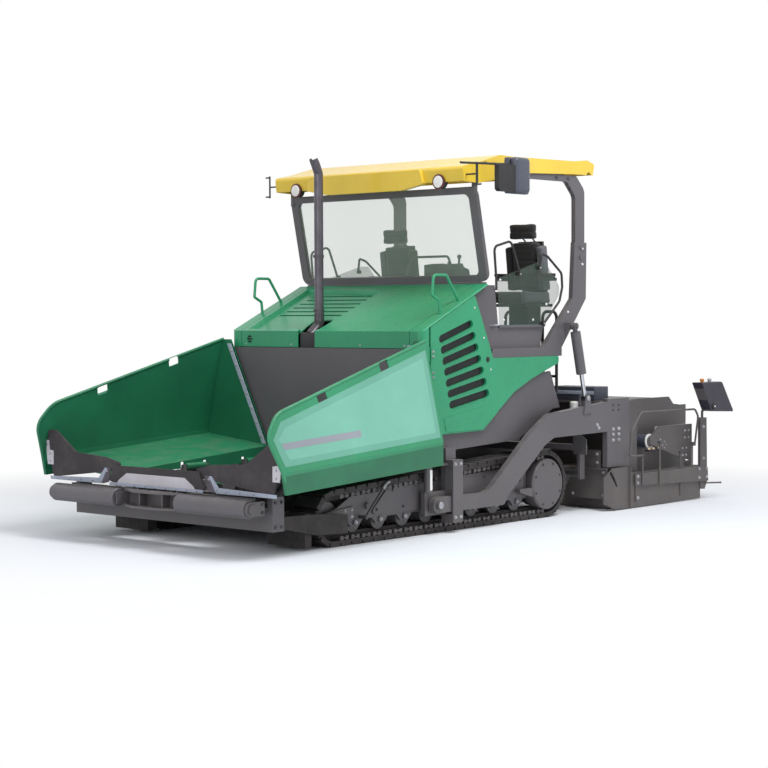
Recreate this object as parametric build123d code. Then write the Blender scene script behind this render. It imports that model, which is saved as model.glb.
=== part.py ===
"""Tracked asphalt paver with a folding material hopper and a floating screed.

Millimetres. X points forward to the hopper, Y to the machine's left, Z up.
The origin lies on the ground under the middle of the machine's overall box.
"""

import math
import os

from build123d import *

# Clearance between pieces that rest on each other
SEAT_GAP = 0.3

# Running gear
SHOE_INNER = 945
SHOE_WIDTH = 305
TRACK_MIDDLE = SHOE_INNER + SHOE_WIDTH / 2
TRACK_OUTER = SHOE_INNER + SHOE_WIDTH
SPROCKET_X = -760
SPROCKET_R = 342
IDLER_X = 2370
IDLER_R = 255
SHOE_COUNT = 56
SHOE_GAP_OUT = 26
SHOE_GAP_IN = 8
SHOE_GROOVE = 34
BELT_DEPTH = 52
CHAIN_DEPTH = 112
CHAIN_WIDTH = 100
ROLLER_R = 80
ROLLER_COUNT = 8
ROLLER_FIRST_X = -330
ROLLER_PITCH = 340

# Front end, from the hopper's front edge
FLAP_X = 3325
FLAP_THICK = 18
BEAM_FRONT_X = FLAP_X - 125
BEAM_REAR_X = BEAM_FRONT_X - 140
BEAM_HALF = 1304
BEAM_LOW_Z = 210
BEAM_TOP_Z = 510
PUSH_AXIS_X = FLAP_X + 122.5
PUSH_AXIS_Z = 424
PUSH_R = 82.5
PUSH_SHAFT_R = 30
PUSH_INNER_Y = 405
PUSH_OUTER_Y = 1284
PUSH_PIVOT_X = BEAM_FRONT_X + 50
PUSH_PIVOT_R = 40
TOW_PIN_R = 26

# Main frame
FRAME_Y = 700
FRAME_WALL = 30
FRAME_OUTER_Y = FRAME_Y + FRAME_WALL
FRAME_REAR_X = -1000
FRAME_LOW_Z = 250
FRAME_TOP_Z = 560
TUNNEL_TOP_Z = 780
FLOOR_Z = 440
RIB_HALF = 40

# Hopper
HINGE_Y = 660
HINGE_Z = 620
HINGE_PIN_R = 18
KNUCKLE_R = 32
WING_REAR_X = 1243
WING_SKIN = 12
WALL_FOOT_Y = 1600
WALL_FOOT_Z = 750
WALL_LEAN = 0.23
RIM_R = 16
WING_CYL_X = 2850
WING_BASE = (850, 400)
WING_EYE = (1230, 630)

# Engine housing
HOOD_FRONT_X = 1200
HOOD_FRONT_Z = 1900
HOOD_BASE_Z = 1740
HOOD_REAR_X = 205
HOOD_HINGE_Z = 2318
HOOD_SLOPE = 0.456
HOOD_HALF = 1120
HOOD_SKIN = 12
RECESS_DEPTH = 32
LOUVRE_COUNT = 6
SHOULDER_HALF = 1270
SHOULDER_LOW_Z = 925
SHOULDER_EDGE_R = 22
SHOULDER_CORNER_R = 60
WALL_OUT_Y = 1222
WALL_IN_Y = WALL_OUT_Y - 32
DOOR_IN_Y = WALL_OUT_Y + 10
DOOR_OUT_Y = DOOR_IN_Y + 30
DOOR_HINGE_X = 1070
DOOR_HINGE_Y = DOOR_OUT_Y + 14
DOOR_HINGE_ROWS = (1688, 1490)
STACK_X = 1030
STACK_Y = -200
STACK_R = 45
ENGINE_TOP_Z = 1600

# Operator's stand
DECK_HALF = 1240
DECK_Z = 1720
DECK_THICK = 90
DECK_REAR_X = -1040
BOX_TOP_Z = 1943
POST_WALL = 50
POST_Y = DECK_HALF - POST_WALL
SEAT_Y = 868
SEAT_PAN_Z = 2160
ROOF_FRONT_X = 553
ROOF_REAR_X = -1560
ROOF_OVERHANG = 17
ROOF_HALF = DECK_HALF + ROOF_OVERHANG
ROOF_WALL = 15
ROOF_RAIL_Z = 3405
ROOF_RAIL_DEPTH = 65
ROOF_RAIL_TOP_Z = ROOF_RAIL_Z + ROOF_RAIL_DEPTH
LAMP_Y = 956
LAMP_Z = ROOF_RAIL_Z - 73
LAMP_R = 71
RAIL_R = 12
RAIL_STAND = 28
PANE = 6
PANE_INSET = 40
PANE_Y = DECK_HALF - PANE_INSET
PANE_CHANNEL = 33
BOX_HALF = PANE_Y - 11
SCREEN_LOW_Z = 2370
SCREEN_HEIGHT = 930

# Screed, from its half width
SCREED_HALF = 1290
SCREED_FRONT_X = -1780
SCREED_DEPTH = 550
SCREED_BACK_X = SCREED_FRONT_X - SCREED_DEPTH
SCREED_LOW_Z = 12
SCREED_TOP_Z = 1133
TOW_PIVOT_X = 1090
TOW_PIVOT_Z = 280
TOW_PIN = 40
TOW_IN_Y = SCREED_HALF + 30
TOW_OUT_Y = TOW_IN_Y + 60
EXT_FRONT_X = SCREED_BACK_X - 15
EXT_DEPTH = 525
EXT_BACK_X = EXT_FRONT_X - EXT_DEPTH
EXT_IN_Y = 20
EXT_PANEL_Y = 1150
EXT_OUT_Y = 1300
WALK_REAR_X = EXT_BACK_X - 500
WALK_Z = 430
GATE_Y = TOW_OUT_Y + 50
GATE_END_X = -3530
LIFT_TOP = (-1110, 1930)
LIFT_EYE = (-1290, 1190)
LIFT_Y = (TOW_IN_Y + TOW_OUT_Y) / 2

# Augers
AUGER_X = -1420
AUGER_Z = 400
AUGER_R = 190
AUGER_INNER_Y = 125
AUGER_OUTER_Y = 1180
AUGER_PITCH = 264
AUGER_SHAFT_R = 40
AUGER_BORE_R = 22


def block(x0, x1, y0, y1, z0, z1):
    """A box between two corners."""
    size = (x1 - x0, y1 - y0, z1 - z0)
    middle = ((x0 + x1) / 2, (y0 + y1) / 2, (z0 + z1) / 2)
    return Pos(*middle) * Box(*size)


def outline(points, radii):
    """A closed outline through 3D points, its corners rounded where radii says."""
    if radii is None:
        return Polyline(*points, close=True)
    return FilletPolyline(*points, radius=radii, close=True)


def side_plate(points, y0, y1, radii=None):
    """A plate whose outline of (x, z) points spans y0 to y1."""
    ring = outline([(x, y0, z) for x, z in points], radii)
    return extrude(make_face(ring.edges()), amount=y1 - y0, dir=(0, 1, 0))


def cross_plate(points, x0, x1, radii=None):
    """A plate whose outline of (y, z) points spans x0 to x1."""
    ring = outline([(x0, y, z) for y, z in points], radii)
    return extrude(make_face(ring.edges()), amount=x1 - x0, dir=(1, 0, 0))


def level_plate(points, z0, z1, radii=None):
    """A plate whose outline of (x, y) points spans z0 to z1."""
    ring = outline([(x, y, z0) for x, y in points], radii)
    return extrude(make_face(ring.edges()), amount=z1 - z0, dir=(0, 0, 1))


def sheet(points, thickness, toward):
    """A flat sheet through 3D points in one plane, thickened toward a direction."""
    face = make_face(Polyline(*points, close=True).edges()).face()
    normal = face.normal_at()
    if normal.dot(Vector(toward)) < 0:
        normal = -normal
    return extrude(face, amount=thickness, dir=normal)


def bar(start, end, radius):
    """A round bar between two points."""
    axis = Vector(end) - Vector(start)
    return extrude(Plane(origin=start, z_dir=axis) * Circle(radius), amount=axis.length)


def bent_tube(points, radius, bend):
    """A round tube along straight runs joined by arcs."""
    path = FilletPolyline(*points, radius=bend)
    first = Vector(points[1]) - Vector(points[0])
    return sweep(Plane(origin=points[0], z_dir=first) * Circle(radius), path=path)


def along_y(x, z, y0, y1, radius):
    """A round bar along Y."""
    return bar((x, y0, z), (x, y1, z), radius)


def slanted_slot(x, z, length, width, angle, y0, depth):
    """A cutter for a slot in a wall that faces Y, turned from level about its middle."""
    plane = Plane(origin=(x, y0, z), x_dir=(1, 0, 0), z_dir=(0, 1, 0))
    return extrude(plane * (Rot(0, 0, angle) * SlotOverall(length, width)), amount=depth)


def mirrored(shape):
    """The shape's mirror image on the other side of the machine."""
    return mirror(shape, about=Plane.XZ)


def both(shape):
    """The shape and its mirror image on the other side of the machine."""
    return shape + mirrored(shape)


def save(name, shape):
    """Write one node."""
    export_step(shape, os.path.join("parts", name + ".step"))


def save_pair(name, shape):
    """Write the left node and its mirror image as the right node."""
    save(name + "_left", shape)
    save(name + "_right", mirrored(shape))


def belt_shape():
    """Length of one straight run of the belt line and its tilt on the upper side."""
    span_x, drop = IDLER_X - SPROCKET_X, SPROCKET_R - IDLER_R
    tilt = 2 * math.asin(drop / math.hypot(span_x, drop))
    return math.hypot(span_x, drop) * math.cos(tilt / 2), tilt


def loop_station(distance, depth):
    """A point on the track's belt line, its depth measured inward from the ground side."""
    run, tilt = belt_shape()
    front_turn = math.pi - tilt
    up = math.pi / 2 - tilt
    if distance < run:
        return SPROCKET_X + distance, depth
    distance -= run
    reach = IDLER_R - depth
    if distance < IDLER_R * front_turn:
        angle = -math.pi / 2 + distance / IDLER_R
        return IDLER_X + reach * math.cos(angle), IDLER_R + reach * math.sin(angle)
    distance -= IDLER_R * front_turn
    if distance < run:
        x = IDLER_X + reach * math.cos(up) - distance * math.sin(up)
        return x, IDLER_R + reach * math.sin(up) + distance * math.cos(up)
    distance -= run
    angle = up + distance / SPROCKET_R
    reach = SPROCKET_R - depth
    return SPROCKET_X + reach * math.cos(angle), SPROCKET_R + reach * math.sin(angle)


def loop_length():
    """Length of the belt line on the ground side."""
    run, tilt = belt_shape()
    return 2 * run + IDLER_R * (math.pi - tilt) + SPROCKET_R * (math.pi + tilt)


def loop_face(depth, y):
    """The area inside the belt line at a depth, two runs joined by two arcs."""
    _, tilt = belt_shape()
    up = math.pi / 2 - tilt
    rear, front = SPROCKET_R - depth, IDLER_R - depth
    rear_top = (SPROCKET_X + rear * math.cos(up), y, SPROCKET_R + rear * math.sin(up))
    front_top = (IDLER_X + front * math.cos(up), y, IDLER_R + front * math.sin(up))
    bottom = Line((SPROCKET_X, y, depth), (IDLER_X, y, depth))
    nose = ThreePointArc((IDLER_X, y, depth), (IDLER_X + front, y, IDLER_R), front_top)
    top = Line(front_top, rear_top)
    tail = ThreePointArc(rear_top, (SPROCKET_X - rear, y, SPROCKET_R), (SPROCKET_X, y, depth))
    return make_face([bottom.edge(), nose.edge(), top.edge(), tail.edge()])


def track():
    """One endless belt: padded shoes outside, a narrower chain inside."""
    pitch = loop_length() / SHOE_COUNT
    points = []
    for index in range(SHOE_COUNT):
        start = index * pitch
        for distance, depth in (
            (start + SHOE_GAP_IN / 2, SHOE_GROOVE),
            (start + SHOE_GAP_OUT / 2, 0),
            (start + pitch - SHOE_GAP_OUT / 2, 0),
            (start + pitch - SHOE_GAP_IN / 2, SHOE_GROOVE),
        ):
            x, z = loop_station(distance, depth)
            points.append((x, SHOE_INNER, z))
    shoes = make_face(Polyline(*points, close=True).edges()) - loop_face(BELT_DEPTH, SHOE_INNER)
    belt = extrude(shoes, amount=SHOE_WIDTH, dir=(0, 1, 0))
    chain_y = TRACK_MIDDLE - CHAIN_WIDTH / 2
    rail = loop_face(BELT_DEPTH - 1, chain_y) - loop_face(CHAIN_DEPTH, chain_y)
    return belt + extrude(rail, amount=CHAIN_WIDTH, dir=(0, 1, 0))


def track_roller(x, z, radius):
    """A flanged roller that rides on the chain."""
    half = CHAIN_WIDTH / 2
    tread = along_y(x, z, TRACK_MIDDLE - half - 4, TRACK_MIDDLE + half + 4, radius)
    flange = along_y(x, z, TRACK_MIDDLE + half + 4, TRACK_MIDDLE + half + 22, radius + 12)
    return tread + flange + mirror(flange, about=Plane.XZ.offset(-TRACK_MIDDLE))


def track_frame():
    """Beam inside the belt, with its scalloped side plates, rollers, idler and covers."""
    out_y = TRACK_MIDDLE + 100
    roller_z = CHAIN_DEPTH + SEAT_GAP + ROLLER_R
    ears = []
    for index in range(ROLLER_COUNT):
        x = ROLLER_FIRST_X + index * ROLLER_PITCH
        ears += [(x - 105, 215), (x - 55, 158), (x + 55, 158), (x + 105, 215)]
    plate_outline = [(-490, 215)] + ears + [(2290, 215), (2330, 200), (2440, 200), (2440, 300)]
    plate_outline += [(2300, 330), (2110, 425), (-490, 560)]
    frame = side_plate(plate_outline, TRACK_MIDDLE + 80, out_y)
    frame += side_plate(plate_outline, TRACK_MIDDLE - 100, TRACK_MIDDLE - 80)
    frame += block(-490, 2130, TRACK_MIDDLE - 80, TRACK_MIDDLE + 80, 290, 400)
    front_cover = [(985, 236), (1865, 244), (1595, 492), (1095, 500), (985, 492)]
    frame += side_plate(front_cover, out_y, out_y + 16, [12, 30, 30, 12, 12])
    rear_cover = [(700, 240), (700, 505), (-250, 545), (-330, 470), (-430, 440), (-430, 240)]
    frame += side_plate(rear_cover, out_y, out_y + 16)
    yoke = [(2080, 214), (2450, 204), (2450, 306), (2080, 340)]
    frame += side_plate(yoke, out_y, out_y + 18, [10, 40, 40, 10])
    frame += along_y(IDLER_X, IDLER_R, out_y, out_y + 34, 46)
    frame += along_y(1890, 330, out_y, out_y + 26, 30)
    for index in range(ROLLER_COUNT):
        x = ROLLER_FIRST_X + index * ROLLER_PITCH
        frame += track_roller(x, roller_z, ROLLER_R)
        frame += along_y(x, roller_z, TRACK_MIDDLE - 80, out_y + 14, 28)
    idler_r = IDLER_R - CHAIN_DEPTH - SEAT_GAP
    idler = along_y(IDLER_X, IDLER_R, TRACK_MIDDLE - 46, TRACK_MIDDLE + 46, idler_r)
    axle = along_y(IDLER_X, IDLER_R, TRACK_MIDDLE - 80, TRACK_MIDDLE + 80, 34)
    return frame + idler + axle


def final_drive():
    """Sprocket, gear hub and the round outer cover with its flat front edge and ledge."""
    cover_in, cover_out, cover_r = TRACK_MIDDLE + 58, TRACK_OUTER + 31, 255
    chain_r = SPROCKET_R - CHAIN_DEPTH - SEAT_GAP
    sprocket = along_y(SPROCKET_X, SPROCKET_R, TRACK_MIDDLE - 38, TRACK_MIDDLE + 38, chain_r)
    hub = along_y(SPROCKET_X, SPROCKET_R, 960, TRACK_MIDDLE - 38, 150)
    neck = along_y(SPROCKET_X, SPROCKET_R, TRACK_MIDDLE + 38, cover_in, 200)
    cover = along_y(SPROCKET_X + 10, SPROCKET_R, cover_in, cover_out, cover_r)
    cover = chamfer(cover.edges().filter_by(GeomType.CIRCLE).sort_by(Axis.Y)[-1], 14)
    cover -= block(SPROCKET_X + 265, SPROCKET_X + 400, 1000, 1300, 0, 700)
    ledge = [(-505, 320), (-290, 320), (-300, 284), (-505, 228)]
    return sprocket + hub + neck + cover + side_plate(ledge, TRACK_MIDDLE + 118, cover_out - 8)


def chassis():
    """Main frame: side plates, tunnel roof, rear beam and the wing cylinders' ears."""
    front_x = BEAM_REAR_X
    side_outline = [
        (FRAME_REAR_X, FRAME_LOW_Z),
        (front_x - 360, FRAME_LOW_Z),
        (front_x, FRAME_LOW_Z + 50),
        (front_x, FRAME_TOP_Z),
        (1190, FRAME_TOP_Z),
        (1190, TUNNEL_TOP_Z),
        (FRAME_REAR_X, TUNNEL_TOP_Z),
    ]
    frame = both(side_plate(side_outline, FRAME_Y, FRAME_OUTER_Y))
    frame += block(FRAME_REAR_X, 1190, -FRAME_Y, FRAME_Y, TUNNEL_TOP_Z - 20, TUNNEL_TOP_Z)
    frame += block(FRAME_REAR_X, FRAME_REAR_X + 60, -FRAME_Y, FRAME_Y, 640, TUNNEL_TOP_Z)
    base_y, base_z = WING_BASE
    ear_outline = [
        (FRAME_OUTER_Y, base_z - 70),
        (base_y + 10, base_z - 38),
        (base_y + 36, base_z),
        (base_y + 10, base_z + 38),
        (FRAME_OUTER_Y, base_z + 70),
    ]
    for x0 in (WING_CYL_X - 46, WING_CYL_X + 34):
        frame += both(cross_plate(ear_outline, x0, x0 + 12))
    return frame + both(bar((WING_CYL_X - 40, *WING_BASE), (WING_CYL_X + 40, *WING_BASE), 16))


def frame_floor():
    """Conveyor floor, bottom plate and the centre rib that joins them between the side plates."""
    front_x = BEAM_REAR_X
    floor = block(-650, front_x - 360, -FRAME_Y, FRAME_Y, FRAME_LOW_Z, FRAME_LOW_Z + 20)
    floor += block(-780, front_x - 300, -FRAME_Y, FRAME_Y, FLOOR_Z - 25, FLOOR_Z - SEAT_GAP)
    return floor + block(-900, front_x - 100, -RIB_HALF, RIB_HALF, FRAME_LOW_Z, FRAME_TOP_Z)


def cross_members():
    """Beams, drive mounts and brackets that stand out from the main frame on the left."""
    pieces = along_y(SPROCKET_X, SPROCKET_R, FRAME_OUTER_Y, 960, 110)
    for x in (330, 1750):
        pieces += block(x - 110, x + 110, FRAME_OUTER_Y, TRACK_MIDDLE - 100, 265, 400)
    for x in (-560, 1080):
        pieces += block(x, x + 100, FRAME_OUTER_Y, WALL_IN_Y, 700, 775)
    return pieces


def knuckle_spans():
    """Rows of (first x, last x) for the wing's hinge knuckles."""
    return [(1300, 1600), (2150, 2400), (2950, 3200)]


def wing_hinges():
    """Left bearing lugs and pins that carry a hopper wing."""
    lug_outline = [
        (HINGE_Y - 20, HINGE_Z - 136),
        (FRAME_Y, HINGE_Z - 136),
        (FRAME_Y, HINGE_Z - 68),
        (HINGE_Y + 20, HINGE_Z + 20),
        (HINGE_Y - 20, HINGE_Z + 20),
    ]
    hinges = None
    for first, last in knuckle_spans():
        pin = bar((first - 35, HINGE_Y, HINGE_Z), (last + 35, HINGE_Y, HINGE_Z), HINGE_PIN_R)
        hinges = pin if hinges is None else hinges + pin
        for x0 in (first - 35, last + 6):
            hinges += cross_plate(lug_outline, x0, x0 + 29)
    return hinges


def wall_y(z):
    """Outer face of a hopper wing at a height."""
    return WALL_FOOT_Y - WALL_LEAN * (z - WALL_FOOT_Z)


def floor_z(x, y):
    """Upper face of a wing's floor, which falls forward and to the middle."""
    return 762 - 0.0749 * (x - 1255) + 0.104 * (y - 714)


def bend_z(x):
    """Bend line between a wing's leaning wall and its upright lower strip."""
    return 886 - 0.0693 * (x - 1255)


def strip_y(x, inset):
    """Outer face of a wing's lower strip, moved inward by an inset."""
    return wall_y(bend_z(x)) - inset


def wing():
    """Left hopper wing at rest, lowered, with its rolled rim and cut-outs."""
    shoulder_x, nose_x, foot_x, low_x = FLAP_X + 5, FLAP_X + 159, FLAP_X + 40, FLAP_X + 6
    rim_radii = [0, 260, 150, 0, 0]
    wall_points = [
        (x, wall_y(z), z)
        for x, z in (
            (WING_REAR_X, 1814),
            (shoulder_x, 1230),
            (nose_x, 1040),
            (foot_x, bend_z(foot_x)),
            (WING_REAR_X, bend_z(WING_REAR_X)),
        )
    ]
    wall_face = make_face(FilletPolyline(*wall_points, radius=rim_radii, close=True))
    wall = extrude(wall_face, amount=WING_SKIN, dir=(0, -1, 0))
    rim_points = [(x, y - WING_SKIN / 2, z) for x, y, z in wall_points[:4]]
    rim = bent_tube(rim_points, RIM_R, rim_radii[1:3])
    foot_y = strip_y(foot_x, WING_SKIN / 2)
    rim += bar(rim_points[3], (low_x, foot_y, 560), RIM_R) + Pos(*rim_points[3]) * Sphere(RIM_R)
    strip_points = [
        (WING_REAR_X, strip_y(WING_REAR_X, 2), bend_z(WING_REAR_X) + 6),
        (foot_x, strip_y(foot_x, 2), bend_z(foot_x) + 6),
        (low_x, strip_y(low_x, 2), 554),
        (WING_REAR_X, strip_y(WING_REAR_X, 2), 672),
    ]
    lower = sheet(strip_points, WING_SKIN, (0, -1, 0))
    front_x = FLAP_X - SEAT_GAP
    inner_y, edge_y = HINGE_Y + 24, strip_y(WING_REAR_X, 8)
    floor_plan = (
        (WING_REAR_X, inner_y),
        (front_x, inner_y),
        (front_x, strip_y(front_x, 8)),
        (WING_REAR_X, strip_y(WING_REAR_X, 8)),
    )
    floor_points = [(x, y, floor_z(x, y)) for x, y in floor_plan]
    floor = sheet(floor_points, WING_SKIN, (0, 0, -1))
    rear_outline = [
        (690, 740),
        (edge_y - 6, 836),
        (wall_y(886) - 4, 886),
        (wall_y(1812) - 2, 1812),
        (1225, 1812),
    ]
    rear = cross_plate(rear_outline, WING_REAR_X, WING_REAR_X + WING_SKIN)
    lip_outline = [
        (1305, HINGE_Z - 20),
        (front_x - 130, HINGE_Z - 20),
        (front_x - 25, floor_z(front_x - 25, inner_y) - 2),
        (1300, floor_z(1300, inner_y) - 2),
    ]
    lip = side_plate(lip_outline, HINGE_Y + 22, HINGE_Y + 34)
    body = wall + rim + lower + floor + rear + lip
    for x in (1800, 2400, 3040):
        rib = [
            (760, floor_z(x, 760) - 8),
            (1540, floor_z(x, 1540) - 8),
            (1540, floor_z(x, 1540) - 60),
            (760, floor_z(x, 760) - 50),
        ]
        body += cross_plate(rib, x, x + 10)
    for first, last in knuckle_spans():
        body += bar((first, HINGE_Y, HINGE_Z), (last, HINGE_Y, HINGE_Z), KNUCKLE_R)
    for first, last in knuckle_spans():
        bore_r = HINGE_PIN_R + SEAT_GAP
        body -= bar((first - 1, HINGE_Y, HINGE_Z), (last + 1, HINGE_Y, HINGE_Z), bore_r)
        for x0 in (first - 35, last + 6):
            body -= block(x0 - 6, x0 + 35, HINGE_Y - 40, HINGE_Y + 46, HINGE_Z - 60, HINGE_Z + 45)
    rim_angle = math.atan2(1814 - 1230, shoulder_x - WING_REAR_X)
    for x, z in ((2745, 1344), (1880, 1602)):
        x_dir = (math.cos(rim_angle), 0, -math.sin(rim_angle))
        plane = Plane(origin=(x, 1300, z), x_dir=x_dir, z_dir=(0, 1, 0))
        body -= extrude(plane * RectangleRounded(126, 84, 14), amount=300)
    eye_y, eye_z = WING_EYE
    top = floor_z(WING_CYL_X, eye_y) - 8
    ear = [(eye_y - 70, top), (eye_y - 30, eye_z - 30), (eye_y + 30, eye_z - 30), (eye_y + 70, top)]
    for x0 in (WING_CYL_X - 46, WING_CYL_X + 34):
        body += cross_plate(ear, x0, x0 + 12)
    return body


def wing_cylinder_line():
    """Unit vector of a wing cylinder from its base to its eye in the YZ plane."""
    dy, dz = WING_EYE[0] - WING_BASE[0], WING_EYE[1] - WING_BASE[1]
    length = math.hypot(dy, dz)
    return dy / length, dz / length


def wing_barrel():
    """Left wing cylinder's barrel with the eye at its base."""
    uy, uz = wing_cylinder_line()
    base_y, base_z = WING_BASE

    def along(distance):
        return WING_CYL_X, base_y + distance * uy, base_z + distance * uz

    tube = bar(along(60), along(330), 40) + bar(along(20), along(61), 24)
    tube += bar((WING_CYL_X - 28, base_y, base_z), (WING_CYL_X + 28, base_y, base_z), 34)
    tube -= bar(along(66), along(312), 28)
    tube -= bar(along(300), along(340), 20 + SEAT_GAP)
    bore = bar((WING_CYL_X - 31, base_y, base_z), (WING_CYL_X + 31, base_y, base_z), 16 + SEAT_GAP)
    return tube - bore


def wing_rod():
    """Left wing cylinder's rod with the eye under the wing."""
    uy, uz = wing_cylinder_line()
    base_y, base_z = WING_BASE
    eye_y, eye_z = WING_EYE
    start = (WING_CYL_X, base_y + 70 * uy, base_z + 70 * uz)
    rod = bar(start, (WING_CYL_X, eye_y, eye_z), 20)
    return rod + bar((WING_CYL_X - 28, eye_y, eye_z), (WING_CYL_X + 28, eye_y, eye_z), 28)


def wing_flap():
    """Rubber apron across the front end of a wing."""
    points = [
        (1552, 880),
        (1530, 985),
        (1420, 985),
        (1130, 790),
        (700, 765),
        (458, 712),
        (624, 640),
        (1461, 545),
    ]
    return cross_plate(points, FLAP_X, FLAP_X + FLAP_THICK, [20, 24, 50, 90, 80, 24, 60, 40])


def centre_flap():
    """Rubber apron between the wings, with its bracket to the front beam."""
    x0 = FLAP_X + FLAP_THICK + 7
    apron_outline = [(-643, 560), (-500, 522), (500, 522), (643, 560), (560, 700), (-560, 700)]
    apron = cross_plate(apron_outline, x0, x0 + 15)
    shelf_x = BEAM_FRONT_X - 100
    bracket = block(shelf_x, x0, -380, 380, BEAM_TOP_Z + 12, BEAM_TOP_Z + 35)
    return apron + bracket + block(shelf_x, shelf_x + 90, -380, 380, BEAM_TOP_Z, BEAM_TOP_Z + 13)


def front_beam():
    """Hollow cross beam ahead of the tracks, with end plates and the push beam's pivot ears."""
    top_z = BEAM_TOP_Z - 90
    beam = block(BEAM_REAR_X, BEAM_FRONT_X, -BEAM_HALF, BEAM_HALF, BEAM_LOW_Z, top_z)
    inner_half = BEAM_HALF - 60
    beam -= block(BEAM_REAR_X + 20, BEAM_FRONT_X - 20, -inner_half, inner_half, BEAM_LOW_Z - 1, top_z - 20)
    end = [
        (BEAM_REAR_X, BEAM_LOW_Z),
        (BEAM_FRONT_X, BEAM_LOW_Z),
        (BEAM_FRONT_X, BEAM_TOP_Z),
        (BEAM_REAR_X, BEAM_TOP_Z),
    ]
    beam += both(side_plate(end, BEAM_HALF - 60, BEAM_HALF, [10, 40, 20, 10]))
    beam += block(BEAM_REAR_X, BEAM_FRONT_X, -600, 600, top_z - 1, BEAM_TOP_Z)
    for z0 in (PUSH_AXIS_Z - 64, PUSH_AXIS_Z + 38):
        ear = [
            (BEAM_FRONT_X - 5, -180),
            (PUSH_PIVOT_X + 35, -90),
            (PUSH_PIVOT_X + 35, 90),
            (BEAM_FRONT_X - 5, 180),
        ]
        beam += level_plate(ear, z0, z0 + 28, [0, 40, 40, 0])
    pin = (PUSH_PIVOT_X, 0, PUSH_AXIS_Z - 64), (PUSH_PIVOT_X, 0, PUSH_AXIS_Z + 66)
    return beam + bar(*pin, PUSH_PIVOT_R)


def deflectors():
    """Scraper blocks in front of the tracks, on arms from the front beam."""
    rear_x = IDLER_X + IDLER_R + 35
    blade_plan = [(rear_x, 783), (rear_x + 100, 800), (rear_x + 100, 1262), (rear_x + 20, 1262)]
    blade = level_plate(blade_plan, 30, 330)
    arm = block(rear_x + 80, BEAM_REAR_X, 960, 1060, 250, 340)
    outer_arm = [
        (2235, 117),
        (rear_x - 20, 134),
        (rear_x + 330, 212),
        (BEAM_REAR_X, 212),
        (BEAM_REAR_X, 330),
        (rear_x - 20, 318),
        (2235, 286),
    ]
    side = side_plate(outer_arm, TRACK_OUTER + 6, TRACK_OUTER + 36, [8, 20, 20, 0, 0, 20, 8])
    link = block(rear_x + 30, rear_x + 90, 1200, TRACK_OUTER + 8, 180, 300)
    return both(blade + arm + side + link)


def push_beam():
    """Beam that pivots at its middle and carries both push rollers."""
    rear_x, front_x = FLAP_X - 25, FLAP_X + 15
    low_z, high_z = PUSH_AXIS_Z - 79, PUSH_AXIS_Z + 81
    body = block(rear_x, front_x, -1200, 1200, low_z, high_z)
    body += block(PUSH_PIVOT_X - 35, rear_x, -100, 100, PUSH_AXIS_Z - 28, PUSH_AXIS_Z + 30)
    pivot = (PUSH_PIVOT_X, 0, PUSH_AXIS_Z - 34), (PUSH_PIVOT_X, 0, PUSH_AXIS_Z + 36)
    body -= bar(*pivot, PUSH_PIVOT_R + SEAT_GAP)
    nose_x = PUSH_AXIS_X + 46
    bow = [
        (front_x - 1, -392),
        (nose_x - 90, -380),
        (nose_x, -170),
        (nose_x, 170),
        (nose_x - 90, 380),
        (front_x - 1, 392),
    ]
    for z0 in (low_z, high_z - 20):
        body += level_plate(bow, z0, z0 + 20, [0, 30, 120, 120, 30, 0])
    for y in (-150, 150):
        body += block(front_x, nose_x - 70, y - 10, y + 10, low_z, high_z)
    body -= bar((PUSH_AXIS_X - 7.5, 0, low_z - 5), (PUSH_AXIS_X - 7.5, 0, high_z + 5), TOW_PIN_R)
    end_low, end_high = PUSH_AXIS_Z - 54, PUSH_AXIS_Z + 54
    inner_end = block(rear_x, PUSH_AXIS_X + 42, PUSH_INNER_Y - 25, PUSH_INNER_Y - 6, end_low, end_high)
    cheek = [
        (rear_x, PUSH_AXIS_Z - 62),
        (PUSH_AXIS_X + 70, PUSH_AXIS_Z - 62),
        (PUSH_AXIS_X + 70, PUSH_AXIS_Z + 62),
        (rear_x, PUSH_AXIS_Z + 62),
    ]
    outer_end = side_plate(cheek, PUSH_OUTER_Y + 6, PUSH_OUTER_Y + 25, [8, 60, 60, 8])
    outer_end += along_y(PUSH_AXIS_X, PUSH_AXIS_Z, PUSH_OUTER_Y + 25, PUSH_OUTER_Y + 37, 44)
    shaft = along_y(PUSH_AXIS_X, PUSH_AXIS_Z, PUSH_INNER_Y - 6, PUSH_OUTER_Y + 6, PUSH_SHAFT_R)
    stay = block(rear_x, front_x, 1200, PUSH_OUTER_Y + 25, end_low, end_high)
    return body + both(inner_end + outer_end + shaft + stay)


def push_roller():
    """Left push roller, a tube with bevelled ends on its shaft."""
    tube = along_y(PUSH_AXIS_X, PUSH_AXIS_Z, PUSH_INNER_Y, PUSH_OUTER_Y, PUSH_R)
    tube = chamfer(tube.edges().filter_by(GeomType.CIRCLE), 8)
    bore_r = PUSH_SHAFT_R + SEAT_GAP
    return tube - along_y(PUSH_AXIS_X, PUSH_AXIS_Z, PUSH_INNER_Y - 1, PUSH_OUTER_Y + 1, bore_r)


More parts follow.
